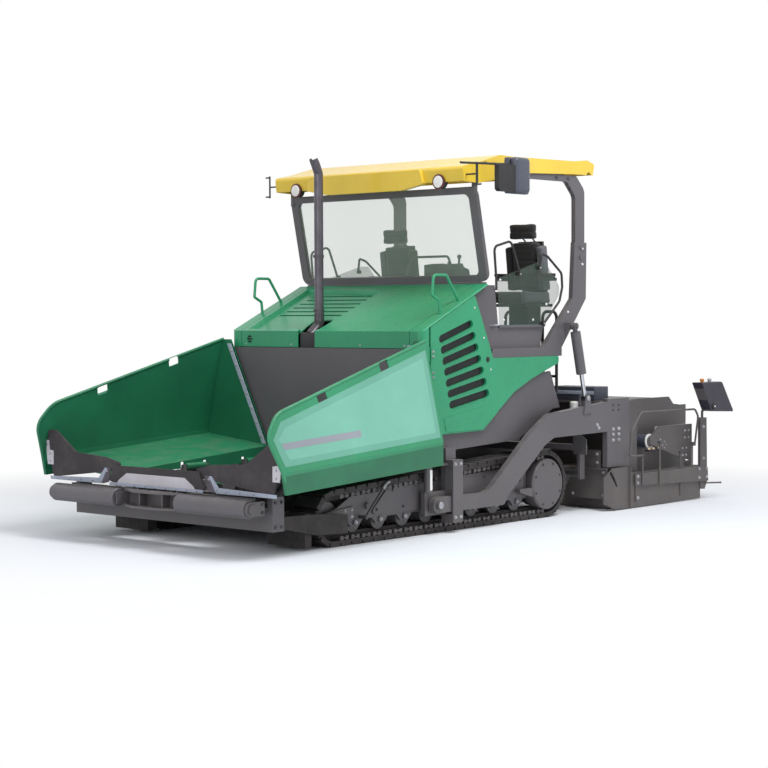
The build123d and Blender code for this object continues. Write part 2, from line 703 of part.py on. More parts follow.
def conveyor():
    """Left slat conveyor: two chains and their cross bars, stopped where they lie."""
    front_x, rear_x, axis_z, reach, chain_wall = 2880, -900, 400, 70, 30
    body = None
    for y0 in (RIB_HALF + 55, FRAME_Y - 75):
        rings = []
        for radius in (reach, reach - chain_wall):
            corner = radius * math.tan(math.radians(22.5))
            rings.append(
                [
                    (rear_x - radius, axis_z - corner),
                    (rear_x - corner, axis_z - radius),
                    (front_x + corner, axis_z - radius),
                    (front_x + radius, axis_z - corner),
                    (front_x + radius, axis_z + corner),
                    (front_x + corner, axis_z + radius),
                    (rear_x - corner, axis_z + radius),
                    (rear_x - radius, axis_z + corner),
                ]
            )
        chain = side_plate(rings[0], y0, y0 + 30) - side_plate(rings[1], y0 - 1, y0 + 31)
        body = chain if body is None else body + chain
    for index in range(11):
        x = rear_x + 40 + index * 365
        for z0 in (axis_z + reach - 29, axis_z - reach - 6):
            body += block(x, x + 40, RIB_HALF + 60, FRAME_Y - 50, z0, z0 + 35)
    return body


def front_plate():
    """Wall between the hopper and the engine, with the two tunnel mouths."""
    half = WALL_OUT_Y - SEAT_GAP
    low_half = FRAME_OUTER_Y
    wall = [(-half, 1735), (-half, 1500), (-low_half, 600), (low_half, 600), (half, 1500), (half, 1735)]
    plate = cross_plate(wall, 1190, 1230)
    return plate - both(block(1180, 1240, 60, 640, 590, 740))


def engine():
    """The engine and its cooler as one block."""
    return block(-150, 1000, -500, 500, TUNNEL_TOP_Z, ENGINE_TOP_Z)


def exhaust():
    """Exhaust stack with its slanted open mouth, elbow and foot."""
    x, y = STACK_X, STACK_Y
    bend_top = [(x, y, 3450), (x + 70, y, 3590)]
    stack = bent_tube([(x, y, 2060)] + bend_top, STACK_R, 60)
    stack -= bent_tube([(x, y, 3360)] + bend_top, STACK_R - 6, 60)
    mouth = Plane(origin=(x - STACK_R, y, 3480), x_dir=(107, 0, 115), z_dir=(-115, 0, 107))
    stack -= extrude(mouth * Rectangle(600, 300), amount=200)
    elbow = bent_tube([(x, y, 2070), (x, y, 1960), (x + 110, y - 15, 1860)], STACK_R + 4, 60)
    riser = block(1085, 1180, -318, -115, ENGINE_TOP_Z, 1880)
    return stack + elbow + riser + block(950, 1180, -290, -150, ENGINE_TOP_Z, ENGINE_TOP_Z + 100)


def hood_top(x):
    """Height of the hood's upper face."""
    return HOOD_FRONT_Z + (HOOD_FRONT_X - x) * HOOD_SLOPE


def slope_plane(depth):
    """Plane below the hood's slope, its x running back up the slope and its y to the right."""
    origin = (HOOD_FRONT_X, 0, HOOD_FRONT_Z)
    return Plane(origin=origin, x_dir=(-1, 0, HOOD_SLOPE), z_dir=(HOOD_SLOPE, 0, 1)).offset(-depth)


def on_slope(points):
    """Points (x, y) of the machine as points of the slope plane."""
    stretch = math.hypot(1, HOOD_SLOPE)
    return [((HOOD_FRONT_X - x) * stretch, -y) for x, y in points]


def slope_face(points, depth):
    """A flat face below the hood's slope through (x, y) points of the machine."""
    return slope_plane(depth) * make_face(Polyline(*on_slope(points), close=True).edges())


def hood():
    """Sloping hood with a front band, a recessed louvre field, a round vent and the stack's notch."""
    skin = HOOD_SKIN
    section = [
        (HOOD_FRONT_X, HOOD_BASE_Z),
        (HOOD_FRONT_X, HOOD_FRONT_Z),
        (HOOD_REAR_X, hood_top(HOOD_REAR_X)),
        (HOOD_REAR_X, hood_top(HOOD_REAR_X) - skin),
        (HOOD_FRONT_X - skin, hood_top(HOOD_FRONT_X - skin) - skin),
        (HOOD_FRONT_X - skin, HOOD_BASE_Z),
    ]
    body = side_plate(section, -HOOD_HALF, HOOD_HALF)
    pan = [(1180, -1078), (258, -1092), (330, 20), (975, -40), (1180, -60)]
    field = [(1165, -1062), (273, -1076), (345, 4), (989, -56), (1165, -76)]
    body += extrude(slope_face(pan, RECESS_DEPTH + skin), amount=RECESS_DEPTH + skin / 2)
    body -= extrude(slope_face(field, 0), amount=-RECESS_DEPTH, taper=30)
    for index in range(LOUVRE_COUNT):
        share = index / (LOUVRE_COUNT - 1)
        x, y0, y1 = 820 - 420 * share, -985 + 75 * share, -110 + 25 * share
        slot = [(x, y0), (x, y1), (x - 26, y1), (x - 26, y0 + 8)]
        body -= extrude(slope_face(slot, RECESS_DEPTH - 10), amount=-60)
    notch = [(1210, -328), (901, -389), (880, -150), (1119, -72), (1210, -105)]
    body -= level_plate(notch, HOOD_BASE_Z - 1, 2400, [0, 20, 20, 20, 0])
    vent = Plane(origin=(HOOD_FRONT_X + 5, -1006, 1816), x_dir=(0, 1, 0), z_dir=(1, 0, 0))
    bars = Circle(38) - Pos(0, 13) * Rectangle(90, 7) - Pos(0, -13) * Rectangle(90, 7)
    body -= extrude(vent * bars, amount=-30)
    body += both(along_y(HOOD_REAR_X, HOOD_HINGE_Z, 692, 908, 14))
    body += both(block(HOOD_REAR_X, HOOD_REAR_X + 20, 692, 908, HOOD_HINGE_Z, HOOD_HINGE_Z + 30))
    return body - both(along_y(HOOD_REAR_X, HOOD_HINGE_Z, 690, 910, 6 + SEAT_GAP))


def shoulder_form(inset):
    """Solid form of the quarter between hood and door with rounded edges, drawn in by an inset."""
    half, front = SHOULDER_HALF - inset, HOOD_FRONT_X - inset
    inner_y, rear_x = HOOD_HALF + 6 - inset, HOOD_REAR_X - inset
    corner_r = SHOULDER_CORNER_R - inset
    plan = [(rear_x, inner_y), (front, inner_y), (front, half), (rear_x, half)]
    upright = level_plate(plan, SHOULDER_LOW_Z - inset, 2500, [0, 0, corner_r, 0])
    start_x = HOOD_FRONT_X + 100
    top_z = hood_top(start_x) - inset * math.hypot(1, HOOD_SLOPE)
    section = [(1000, 300), (half, 300), (half, top_z), (1000, top_z)]
    ring = outline([(start_x, y, z) for y, z in section], [0, 0, SHOULDER_EDGE_R - inset / 2, 0])
    reach = (start_x - HOOD_REAR_X + 100) * math.hypot(1, HOOD_SLOPE)
    return upright & extrude(make_face(ring.edges()), amount=reach, dir=(-1, 0, HOOD_SLOPE))


def shoulder():
    """Fixed quarter between hood and door, with the door's hinge brackets and a grab handle."""
    body = shoulder_form(0) - shoulder_form(HOOD_SKIN)
    lip = 16
    door_space = [
        (HOOD_FRONT_X - 110, SHOULDER_LOW_Z - 5),
        (HOOD_FRONT_X - 110, hood_top(HOOD_FRONT_X - 110) - lip),
        (HOOD_REAR_X - 10, hood_top(HOOD_REAR_X - 10) - lip),
        (HOOD_REAR_X - 10, SHOULDER_LOW_Z - 5),
    ]
    body -= side_plate(door_space, WALL_IN_Y, SHOULDER_HALF + 10)
    body -= block(HOOD_FRONT_X - 40, HOOD_FRONT_X + 10, HOOD_HALF, WALL_OUT_Y + 6, 800, HOOD_BASE_Z)
    web_x = HOOD_FRONT_X - 110
    body += block(web_x, web_x + 12, WALL_OUT_Y, SHOULDER_HALF - 5, SHOULDER_LOW_Z, hood_top(web_x + 12) - 6)
    for z in DOOR_HINGE_ROWS:
        body += block(DOOR_HINGE_X, 1130, SHOULDER_HALF - 3, SHOULDER_HALF + 6, z - 66, z + 66)
        body -= block(DOOR_HINGE_X - 40, 1089, 1200, 1300, z - 50, z + 50)
        for z0 in (z - 66, z + 50):
            body += bar((DOOR_HINGE_X, DOOR_HINGE_Y, z0), (DOOR_HINGE_X, DOOR_HINGE_Y, z0 + 16), 12)
        body += bar((DOOR_HINGE_X, DOOR_HINGE_Y, z - 52), (DOOR_HINGE_X, DOOR_HINGE_Y, z + 52), 6)
    y = SHOULDER_HALF - 80
    path = [
        (835, y, hood_top(835) - 6),
        (850, y, 2190),
        (950, y, 2240),
        (930, y, 2430),
        (740, y, 2430),
        (560, y, hood_top(560) - 6),
    ]
    return body + bent_tube(path, 14, [20, 20, 45, 45])


def door():
    """Left engine door with slanted slots."""
    drop = 22
    points = [
        (1060, hood_top(1060) - drop),
        (398, hood_top(398) - drop),
        (115, 1634),
        (30, 1192),
        (30, 1112),
        (276, 935),
        (1060, 923),
    ]
    panel = side_plate(points, DOOR_IN_Y, DOOR_OUT_Y, [8, 30, 200, 30, 60, 80, 8])
    rows = [
        (934, 1814, 430, 1974),
        (909, 1711, 388, 1861),
        (885, 1607, 346, 1749),
        (860, 1504, 305, 1636),
        (836, 1400, 263, 1523),
        (811, 1297, 222, 1411),
        (786, 1193, 180, 1298),
    ]
    for front_x, front_z, back_x, back_z in rows:
        length = math.hypot(front_x - back_x, front_z - back_z)
        angle = math.degrees(math.atan2(back_z - front_z, front_x - back_x))
        middle_x, middle_z = (front_x + back_x) / 2, (front_z + back_z) / 2
        panel -= slanted_slot(middle_x, middle_z, length, 78, angle, DOOR_IN_Y - 1, 60)
    for z in DOOR_HINGE_ROWS:
        knuckle = bar((DOOR_HINGE_X, DOOR_HINGE_Y, z - 45), (DOOR_HINGE_X, DOOR_HINGE_Y, z + 45), 12)
        leaf = block(DOOR_HINGE_X - 60, DOOR_HINGE_X, DOOR_OUT_Y, DOOR_OUT_Y + 6, z - 40, z + 40)
        bore = bar((DOOR_HINGE_X, DOOR_HINGE_Y, z - 46), (DOOR_HINGE_X, DOOR_HINGE_Y, z + 46), 6 + SEAT_GAP)
        panel += knuckle + leaf
        panel -= bore
    return panel


def side_panel():
    """Grey side wall with the engine bay's opening behind the door."""
    drop = 16
    front_x = HOOD_FRONT_X - HOOD_SKIN - 2
    wall = [
        (front_x, hood_top(front_x) - drop),
        (front_x, 790),
        (706, 765),
        (-334, 812),
        (-908, 1095),
        (-1031, 1105),
        (-869, 1477),
        (-775, 1463),
        (-800, DECK_Z - DECK_THICK),
        (117, DECK_Z - DECK_THICK),
        (117, 1950),
        (-13, 1956),
        (41, 2340),
        (190, 2340),
        (225, hood_top(225) - drop),
    ]
    panel = side_plate(wall, WALL_IN_Y, WALL_OUT_Y)
    bay = [(220, 1000), (1000, 1000), (1000, 1900), (440, 2160), (190, 1600)]
    return panel - side_plate(bay, WALL_IN_Y - 90, WALL_OUT_Y + 78)


def rear_panel():
    """Green quarter panel under the deck, behind the door."""
    points = [
        (104, DECK_Z - DECK_THICK),
        (-974, DECK_Z - DECK_THICK),
        (-974, 1560),
        (-535, 1417),
        (-235, 1289),
        (20, 1112),
        (20, 1192),
    ]
    return side_plate(points, WALL_OUT_Y, WALL_OUT_Y + 28, [4, 20, 24, 120, 120, 10, 40])


def platform():
    """Deck of the operator's stand with a storage box each side."""
    low_z = DECK_Z - DECK_THICK
    inner_y = WALL_IN_Y - 5
    deck = block(DECK_REAR_X, 100, -DECK_HALF, DECK_HALF, low_z, DECK_Z)
    deck += block(100, 190, -inner_y, inner_y, low_z, DECK_Z)
    box_side = [(100, DECK_Z), (100, BOX_TOP_Z), (-792, BOX_TOP_Z), (-740, DECK_Z)]
    box = side_plate(box_side, 620, BOX_HALF, [0, 20, 20, 0])
    channel = block(-770, -50, PANE_Y - 20, PANE_Y - 20 + PANE_CHANNEL, BOX_TOP_Z - 18, BOX_TOP_Z)
    support = block(-850, 100, 700, 780, 1300, low_z)
    wall = block(160, 190, -inner_y, inner_y, DECK_Z, 2300)
    wall += block(120, 170, -inner_y, inner_y, 2290, SCREEN_LOW_Z - SEAT_GAP)
    for y0 in (672, 914):
        wall += both(block(170, HOOD_REAR_X + 14, y0, y0 + 14, 2270, HOOD_HINGE_Z + 8))
    wall += both(along_y(HOOD_REAR_X, HOOD_HINGE_Z, 680, 920, 6))
    legs = block(-760, -690, 700, 730, TUNNEL_TOP_Z, low_z) + block(-40, 60, 700, 730, TUNNEL_TOP_Z, low_z)
    return deck + both(box + channel) + both(support) + wall + both(legs)


def console():
    """Stepped control desk with a joystick on its leg."""
    desk = side_plate([(110, 2400), (110, 2550), (40, 2560), (20, 2525), (-60, 2500), (-90, 2400)], 380, 820)
    leg = block(0, 100, 535, 612, DECK_Z, 2400)
    stick = bar((-20, 720, 2500), (-30, 720, 2620), 12)
    return desk + leg + stick + Pos(-30, 720, 2630) * Sphere(22)


def seat_frame():
    """Seat pedestal, pan, arm rests and headrest posts."""
    pedestal = block(-1020, -800, SEAT_Y - 120, SEAT_Y + 120, DECK_Z, 2130)
    pan = block(-1100, -640, SEAT_Y - 210, SEAT_Y + 210, 2130, SEAT_PAN_Z)
    back = side_plate([(-1120, 2130), (-1085, 2130), (-997, 2800), (-1032, 2800)], SEAT_Y - 150, SEAT_Y + 150)
    for y in (SEAT_Y - 60, SEAT_Y + 60):
        back += bar((-1012, y, 2790), (-895, y, 2880), 8)
    for y in (SEAT_Y - 270, SEAT_Y + 244):
        back += block(-1095, -1060, min(y, SEAT_Y - 150), max(y + 26, SEAT_Y + 150), 2395, 2425)
        back += block(-1070, -760, y, y + 26, 2395, 2440)
    return pedestal + pan + back


def seat_cushion():
    """Soft seat, back and headrest as plain forms."""
    low_z = SEAT_PAN_Z + SEAT_GAP
    base_side = [(-1060, low_z), (-600, low_z), (-600, 2290), (-1040, 2270)]
    back_side = [(-1063.7, 2290), (-940, 2290), (-870, 2770), (-1000.6, 2770)]
    head_side = [(-925, 2830), (-840, 2830), (-835, 2960), (-915, 2960)]
    base = side_plate(base_side, SEAT_Y - 240, SEAT_Y + 240)
    back = side_plate(back_side, SEAT_Y - 230, SEAT_Y + 230)
    head = side_plate(head_side, SEAT_Y - 140, SEAT_Y + 140)
    for y in (SEAT_Y - 60, SEAT_Y + 60):
        head -= bar((-1012, y, 2790), (-893.4, y, 2881.2), 8 + SEAT_GAP)
    return base + back + head


def roof():
    """Roof shell that rests on the rails, with a visor and lamp recesses in front."""
    rest_z, wall = ROOF_RAIL_TOP_Z, ROOF_WALL
    side = [
        (ROOF_FRONT_X, rest_z - 143),
        (ROOF_FRONT_X + 21, rest_z + 1),
        (327, rest_z + 50),
        (-11, rest_z + 138),
        (-218, rest_z + 132),
        (-1234, rest_z + 146),
        (-1462, rest_z + 168),
        (ROOF_REAR_X - 30, rest_z + 130),
        (ROOF_REAR_X, rest_z + 17),
        (-1234, rest_z + 14),
        (-500, rest_z - 14),
        (330, rest_z - 151),
    ]
    radii = [12, 40, 120, 120, 120, 200, 60, 30, 10, 60, 200, 60]
    shell = side_plate(side, -ROOF_HALF, ROOF_HALF, radii)
    inner = [
        (ROOF_FRONT_X - wall, rest_z - 270),
        (ROOF_FRONT_X + 21 - wall - 3, rest_z + 1 - wall),
        (327 - 5, rest_z + 50 - wall - 3),
        (-11, rest_z + 138 - wall - 3),
        (-1234, rest_z + 146 - wall),
        (-1462, rest_z + 168 - wall - 3),
        (ROOF_REAR_X - 30 + wall, rest_z + 130 - wall),
        (ROOF_REAR_X + wall, rest_z - 70),
        (ROOF_REAR_X + wall, rest_z - 270),
    ]
    shell -= side_plate(inner, -ROOF_HALF + wall, ROOF_HALF - wall)
    low_z, top_z = rest_z - 203, rest_z - 15
    visor = [(-780, low_z + 51), (-500, low_z), (500, low_z), (780, low_z + 51), (740, top_z), (-740, top_z)]
    shell += cross_plate(visor, ROOF_FRONT_X - wall, ROOF_FRONT_X + 47, [20, 60, 60, 20, 20, 20])
    rib_half = ROOF_HALF - wall + 1
    for x, rise in ((300, 42), (-400, 122), (-1100, 134)):
        shell += block(x - 6, x + 6, -rib_half, rib_half, rest_z + SEAT_GAP, rest_z + rise)
    shell -= both(bar((480, LAMP_Y, LAMP_Z), (700, LAMP_Y, LAMP_Z), LAMP_R + SEAT_GAP))
    return shell - both(along_y(-1490, rest_z + 5, ROOF_HALF - wall - 2, ROOF_HALF + 2, 42))


def roof_fittings():
    """Work lamps and brackets on both sides, with the mirror and its arm on the left."""
    lamp = bar((515, LAMP_Y, LAMP_Z), (576, LAMP_Y, LAMP_Z), LAMP_R)
    lamp += bar((575, LAMP_Y, LAMP_Z), (582, LAMP_Y, LAMP_Z), LAMP_R - 12)
    x, y, low, high = 522, ROOF_HALF + 128, 3290, 3490
    hook = bar((x, ROOF_HALF + SEAT_GAP, 3390), (x, y, 3390), 8) + bar((x, y, low - 14), (x, y, high + 14), 9)
    hook += bar((x, y, low), (x, y + 55, low), 8) + bar((x, y, high), (x, y + 55, high), 8)
    arm_y = y + 115
    arm = bar((904, arm_y, 3469), (132, arm_y, 3493), 11) + bar((655, arm_y, 3271), (655, arm_y, 3478), 9)
    arm += bar((x, y + 50, high), (x, arm_y, high), 8)
    mirror_side = [(-5, 3226), (400, 3226), (400, 3486), (-5, 3486)]
    mirror_body = side_plate(mirror_side, arm_y + 5, arm_y + 60, [40, 40, 20, 20])
    case_side = [(-143, 3250), (20, 3220), (166, 3220), (166, 3540), (60, 3560), (-143, 3560)]
    case = side_plate(case_side, arm_y - 60, arm_y + 6, [30, 30, 30, 20, 20, 30])
    return both(lamp) + mirrored(hook) + hook + arm + mirror_body + case


def windscreen_frame():
    """Leaning frame with rounded corners and tabs up to the roof rails."""
    half = POST_Y + POST_WALL
    face = Pos(0, SCREEN_HEIGHT / 2) * RectangleRounded(2 * half, SCREEN_HEIGHT, 90)
    hole = Pos(0, SCREEN_HEIGHT / 2) * RectangleRounded(2 * half - 190, SCREEN_HEIGHT - 130, 60)
    frame = extrude(screen_plane() * face, amount=-45) - extrude(screen_plane() * hole, amount=-60)
    return frame + both(block(322, 362, POST_Y + 5, POST_Y + 45, 3190, ROOF_RAIL_Z - SEAT_GAP))


def screen_plane():
    """Plane of the windscreen's outer face, its x to the left and its y up."""
    return Plane(origin=(171, 0, SCREEN_LOW_Z), x_dir=(0, 1, 0), z_dir=(1, 0, -0.2157))


def windscreen_glass():
    """Pane that fills the frame."""
    width = 2 * (POST_Y + POST_WALL) - 190 - 2 * SEAT_GAP
    face = Pos(0, SCREEN_HEIGHT / 2) * RectangleRounded(width, SCREEN_HEIGHT - 130 - 2 * SEAT_GAP, 60)
    return extrude(screen_plane().offset(-16) * face, amount=-8)


def side_glass():
    """Dark side pane that stands in the deck's channel."""
    low = BOX_TOP_Z + SEAT_GAP
    pane = [(-60, low), (-25, 2402), (-687, 2578), (-805, 2580), (-1044, 2342), (-1040, 2250), (-765, low)]
    return side_plate(pane, PANE_Y, PANE_Y + PANE, [6, 40, 20, 40, 60, 40, 6])


def handrails():
    """Rails outside the side pane on their clamps, and the rail before the control desk."""
    seat = PANE_Y + PANE + SEAT_GAP
    y = seat + RAIL_STAND
    front = [(30, y, 2290), (30, y, 2400), (63, y, 2715), (-205, y, 2777), (-350, y, 2455)]
    rear = [
        (-680, y, 2520),
        (-700, y, 2665),
        (-805, y, 2637),
        (-1044, y, 2470),
        (-1056, y, 2328),
        (-1008, y, 2185),
        (-757, y, 1972),
        (-745, y, 1934),
    ]
    rails = bent_tube(front, RAIL_R, [60, 60, 60]) + bent_tube(rear, RAIL_R, [20, 30, 60, 50, 60, 20])
    for x, z in ((-350, 2455), (-680, 2520), (-745, 1966)):
        rails += along_y(x, z, seat, y + 6, 20)
    desk_rail = [(105, 120, 2300), (105, 120, 2420), (0, 120, 2636), (0, 600, 2636), (0, 640, 2530)]
    clamp = block(100, 120 - SEAT_GAP, 108, 132, 2315, 2345)
    return both(rails) + bent_tube(desk_rail, RAIL_R, [40, 60, 40]) + clamp


def roof_post():
    """Rear post of foot plate and joint plate, and the bent upper rail that carries the roof."""
    y0, y1 = POST_Y, POST_Y + POST_WALL
    foot = side_plate([(-734, DECK_Z), (-1044, DECK_Z), (-1461, 2214), (-1226, 2214)], y0, y1)
    joint = side_plate([(-1226, 2214), (-1461, 2214), (-1473, 2790), (-1263, 2790)], y0, y1)
    upper_outline = [
        (-1435, 2780),
        (-1435, 3330),
        (-1290, ROOF_RAIL_TOP_Z),
        (400, ROOF_RAIL_TOP_Z),
        (400, ROOF_RAIL_Z),
        (-1130, ROOF_RAIL_Z),
        (-1275, 3260),
        (-1275, 2780),
    ]
    upper = side_plate(upper_outline, y0, y1, [0, 100, 60, 0, 0, 60, 100, 0])
    pins = along_y(-1368, 2740, y0 - 12, y1 + 12, 22) + along_y(-1368, 2640, y0 - 12, y1 + 12, 22)
    top_x, top_z = LIFT_TOP
    lift_lug = block(top_x - 34, top_x + 34, y0 + 10, LIFT_Y - 32, top_z - 34, top_z + 34)
    lift_lug += along_y(top_x, top_z, LIFT_Y - 33, LIFT_Y + 40, 18)
    brace = side_plate([(-1190, 1880), (-1060, 1880), (-1060, 1990), (-1190, 2110)], y0, y1)
    return foot + joint + upper + pins + lift_lug + brace


def auger_case():
    """Gear case between the augers, its hangers, bearings and retaining plates."""
    case = block(-1500, -1330, -100, 100, 250, 560)
    hanger = block(-1460, FRAME_REAR_X, -100, 100, 640, 700) + block(-1460, -1380, -100, 100, 555, 645)
    rail = block(-1460, -1380, -1260, 1260, 640, 700)
    arm = block(-1380, FRAME_REAR_X, 700, 730, 640, 700)
    plate = cross_plate([(740, 120), (930, 120), (930, 640), (740, 640)], -1210, -1195)
    tie = block(-1400, -1195, 800, 840, 600, 645)
    bracket = cross_plate([(1135, 600), (1300, 600), (1300, 760), (1200, 820), (1135, 820)], -1395, -1383)
    bearing_y = AUGER_OUTER_Y + 15
    bearing = block(-1460, -1380, bearing_y, bearing_y + 30, 340, 641)
    bearing += along_y(AUGER_X, AUGER_Z, 100, AUGER_INNER_Y + 30, AUGER_BORE_R)
    bearing += along_y(AUGER_X, AUGER_Z, AUGER_OUTER_Y - 30, bearing_y + 1, AUGER_BORE_R)
    return case + hanger + rail + both(arm + plate + tie + bracket + bearing)


def auger():
    """Left auger: a shaft with screw flights of half turns."""
    shaft = along_y(AUGER_X, AUGER_Z, AUGER_INNER_Y - 18, AUGER_OUTER_Y + 8, AUGER_SHAFT_R)
    tilt = math.degrees(math.atan2(AUGER_PITCH / 4, AUGER_R))
    disc = Rot(90, 0, 0) * Cylinder(AUGER_R, 12)
    halves = []
    for side in (1, -1):
        half = disc & block(-AUGER_R, AUGER_R, -20, 20, min(0, side * AUGER_R), max(0, side * AUGER_R))
        halves.append(Rot(0, 0, side * tilt) * half)
    for index in range(int((AUGER_OUTER_Y - AUGER_INNER_Y - 140) / (AUGER_PITCH / 2))):
        y = AUGER_INNER_Y + 100 + index * AUGER_PITCH / 2
        shaft += Pos(AUGER_X, y, AUGER_Z) * halves[index % 2]
    bore = along_y(AUGER_X, AUGER_Z, AUGER_INNER_Y - 40, AUGER_OUTER_Y + 40, AUGER_BORE_R + SEAT_GAP)
    return shaft - bore


def levelling_cylinder():
    """Guide post and upright levelling cylinder at the tow point."""
    in_y, out_y = TRACK_OUTER + 6, TOW_OUT_Y + 7
    post = block(756, 902, in_y, TOW_IN_Y - 8, 100, 800)
    post += block(756, 902, out_y, out_y + 15, 100, 690)
    for z0 in (100, 610):
        post += block(756, 902, in_y + 44, out_y + 13, z0, z0 + 80)
    post += block(756, 902, WALL_OUT_Y, in_y + 44, 660, 800)
    middle_y = in_y + 44
    barrel = bar((1150, middle_y, 398), (1150, middle_y, 645), 40)
    barrel += bar((1150, middle_y, 640), (1150, middle_y, 720), 26)
    pin = along_y(TOW_PIVOT_X, TOW_PIVOT_Z, in_y, TOW_OUT_Y + 30, TOW_PIN)
    guide = block(890, 1200, in_y, TOW_IN_Y - 15, 180, 400)
    top = block(890, 1200, in_y, middle_y + 40, 640, 660)
    return post + barrel + guide + top + pin


def tow_arm():
    """Left tow arm with its front eye, lift lug and rear plate."""
    points = [
        (1090, 205),
        (95, 205),
        (20, 300),
        (-565, 746),
        (-720, 815),
        (-1700, 830),
        (-1700, 1145),
        (-642, 1056),
        (-313, 866),
        (321, 367),
        (420, 345),
        (1090, 355),
    ]
    arm = side_plate(points, TOW_IN_Y, TOW_OUT_Y, [0, 60, 60, 80, 80, 0, 0, 120, 120, 40, 40, 0])
    arm += along_y(TOW_PIVOT_X, TOW_PIVOT_Z, TOW_IN_Y, TOW_OUT_Y, 75)
    arm -= along_y(TOW_PIVOT_X, TOW_PIVOT_Z, TOW_IN_Y - 5, TOW_OUT_Y + 5, TOW_PIN + SEAT_GAP)
    eye_x, eye_z = LIFT_EYE
    lug = [(eye_x - 70, 1040), (eye_x + 70, 1030), (eye_x + 30, eye_z + 35), (eye_x - 30, eye_z + 35)]
    for y0 in (TOW_IN_Y - 14, TOW_OUT_Y):
        arm += side_plate(lug, y0, y0 + 14)
    rear = [(-1650, 455), (-2050, 455), (-2050, 1170), (-1650, 1170)]
    return arm + side_plate(rear, TOW_IN_Y, TOW_OUT_Y)


def screed():
    """Main screed: beam, bottom plate, end walls, walkway box, front shields and slide rails."""
    front, back, half = SCREED_FRONT_X, SCREED_BACK_X, SCREED_HALF
    body = block(back, front, -half, half, SCREED_LOW_Z, 420)
    body -= block(back + 25, front - 25, 25 - half, half - 25, 60, 400)
    top_z = SCREED_TOP_Z
    body += block(back, front, -half, half, top_z - 20, top_z)
    walls = block(back, front, half - 30, half, 420, top_z) + block(back, back + 15, -1, half, 420, top_z)
    walls += block(-2050, -1900, half, TOW_IN_Y, 500, 1100)
    shield = block(front + 115, front + 130, 900, TOW_OUT_Y - 8, 120, 445)
    shield += block(front + 130, front + 150, 900, TOW_OUT_Y - 8, 425, 445)
    shield += block(front + 115, front + 130, 985, half, 444, 630)
    for y0 in (905, half - 20):
        shield += block(front - 1, front + 116, y0, y0 + 15, 120, 400)
    step_box = block(-2050, front - 20, 553, 1110, top_z - 1, 1280)
    body += both(walls + shield + step_box)
    for z in (200, 360, 1085):
        body += block(EXT_FRONT_X + SEAT_GAP, back, -half, half, z, z + 30)
    return body


def extension():
    """Left extendable screed unit with its box, walkway, guide tube, end gate and guard hoop."""
    front, back, wall = EXT_FRONT_X, EXT_BACK_X, 14
    top_z, panel_y, gate_y = SCREED_TOP_Z, EXT_PANEL_Y, GATE_Y - 10
    body = block(back, front, EXT_IN_Y, EXT_OUT_Y, SCREED_LOW_Z, 300)
    body += block(back, front, EXT_IN_Y, panel_y, 299, 420)
    upper = block(back, front, EXT_IN_Y, panel_y, 419, top_z)
    upper -= block(back + wall, front - wall, EXT_IN_Y + wall, panel_y - wall, 421, top_z - wall)
    panel = [
        (back + 5, 400),
        (back + 5, top_z),
        (back - 300, top_z),
        (back - 390, 1050),
        (WALK_REAR_X, 1040),
        (WALK_REAR_X, 400),
    ]
    body += upper + side_plate(panel, panel_y - wall, panel_y)
    body += block(WALK_REAR_X, back + 5, EXT_IN_Y, panel_y, WALK_Z - 30, WALK_Z)
    body += block(WALK_REAR_X, WALK_REAR_X + wall, EXT_IN_Y, panel_y, WALK_Z - 1, WALK_Z + 110)
    body += along_y(-2520, 680, panel_y - 2, panel_y + 20, 137)
    body += along_y(-2520, 680, panel_y, panel_y + 190, 58)
    web = [(-2490, 712), (-2660, 834), (-3325, 832), (-3327, 420), (-2939, 514), (-2490, 652)]
    body += side_plate(web, panel_y + 185, panel_y + 200)
    body += block(-3310, -3200, panel_y + 185, gate_y + 5, 369, 381)
    body += block(-3310, -3200, panel_y + 185, panel_y + 200, 370, 430)
    body += block(-2700, -2500, EXT_OUT_Y - 1, gate_y + 5, 150, 290)
    return body + end_gate(gate_y)


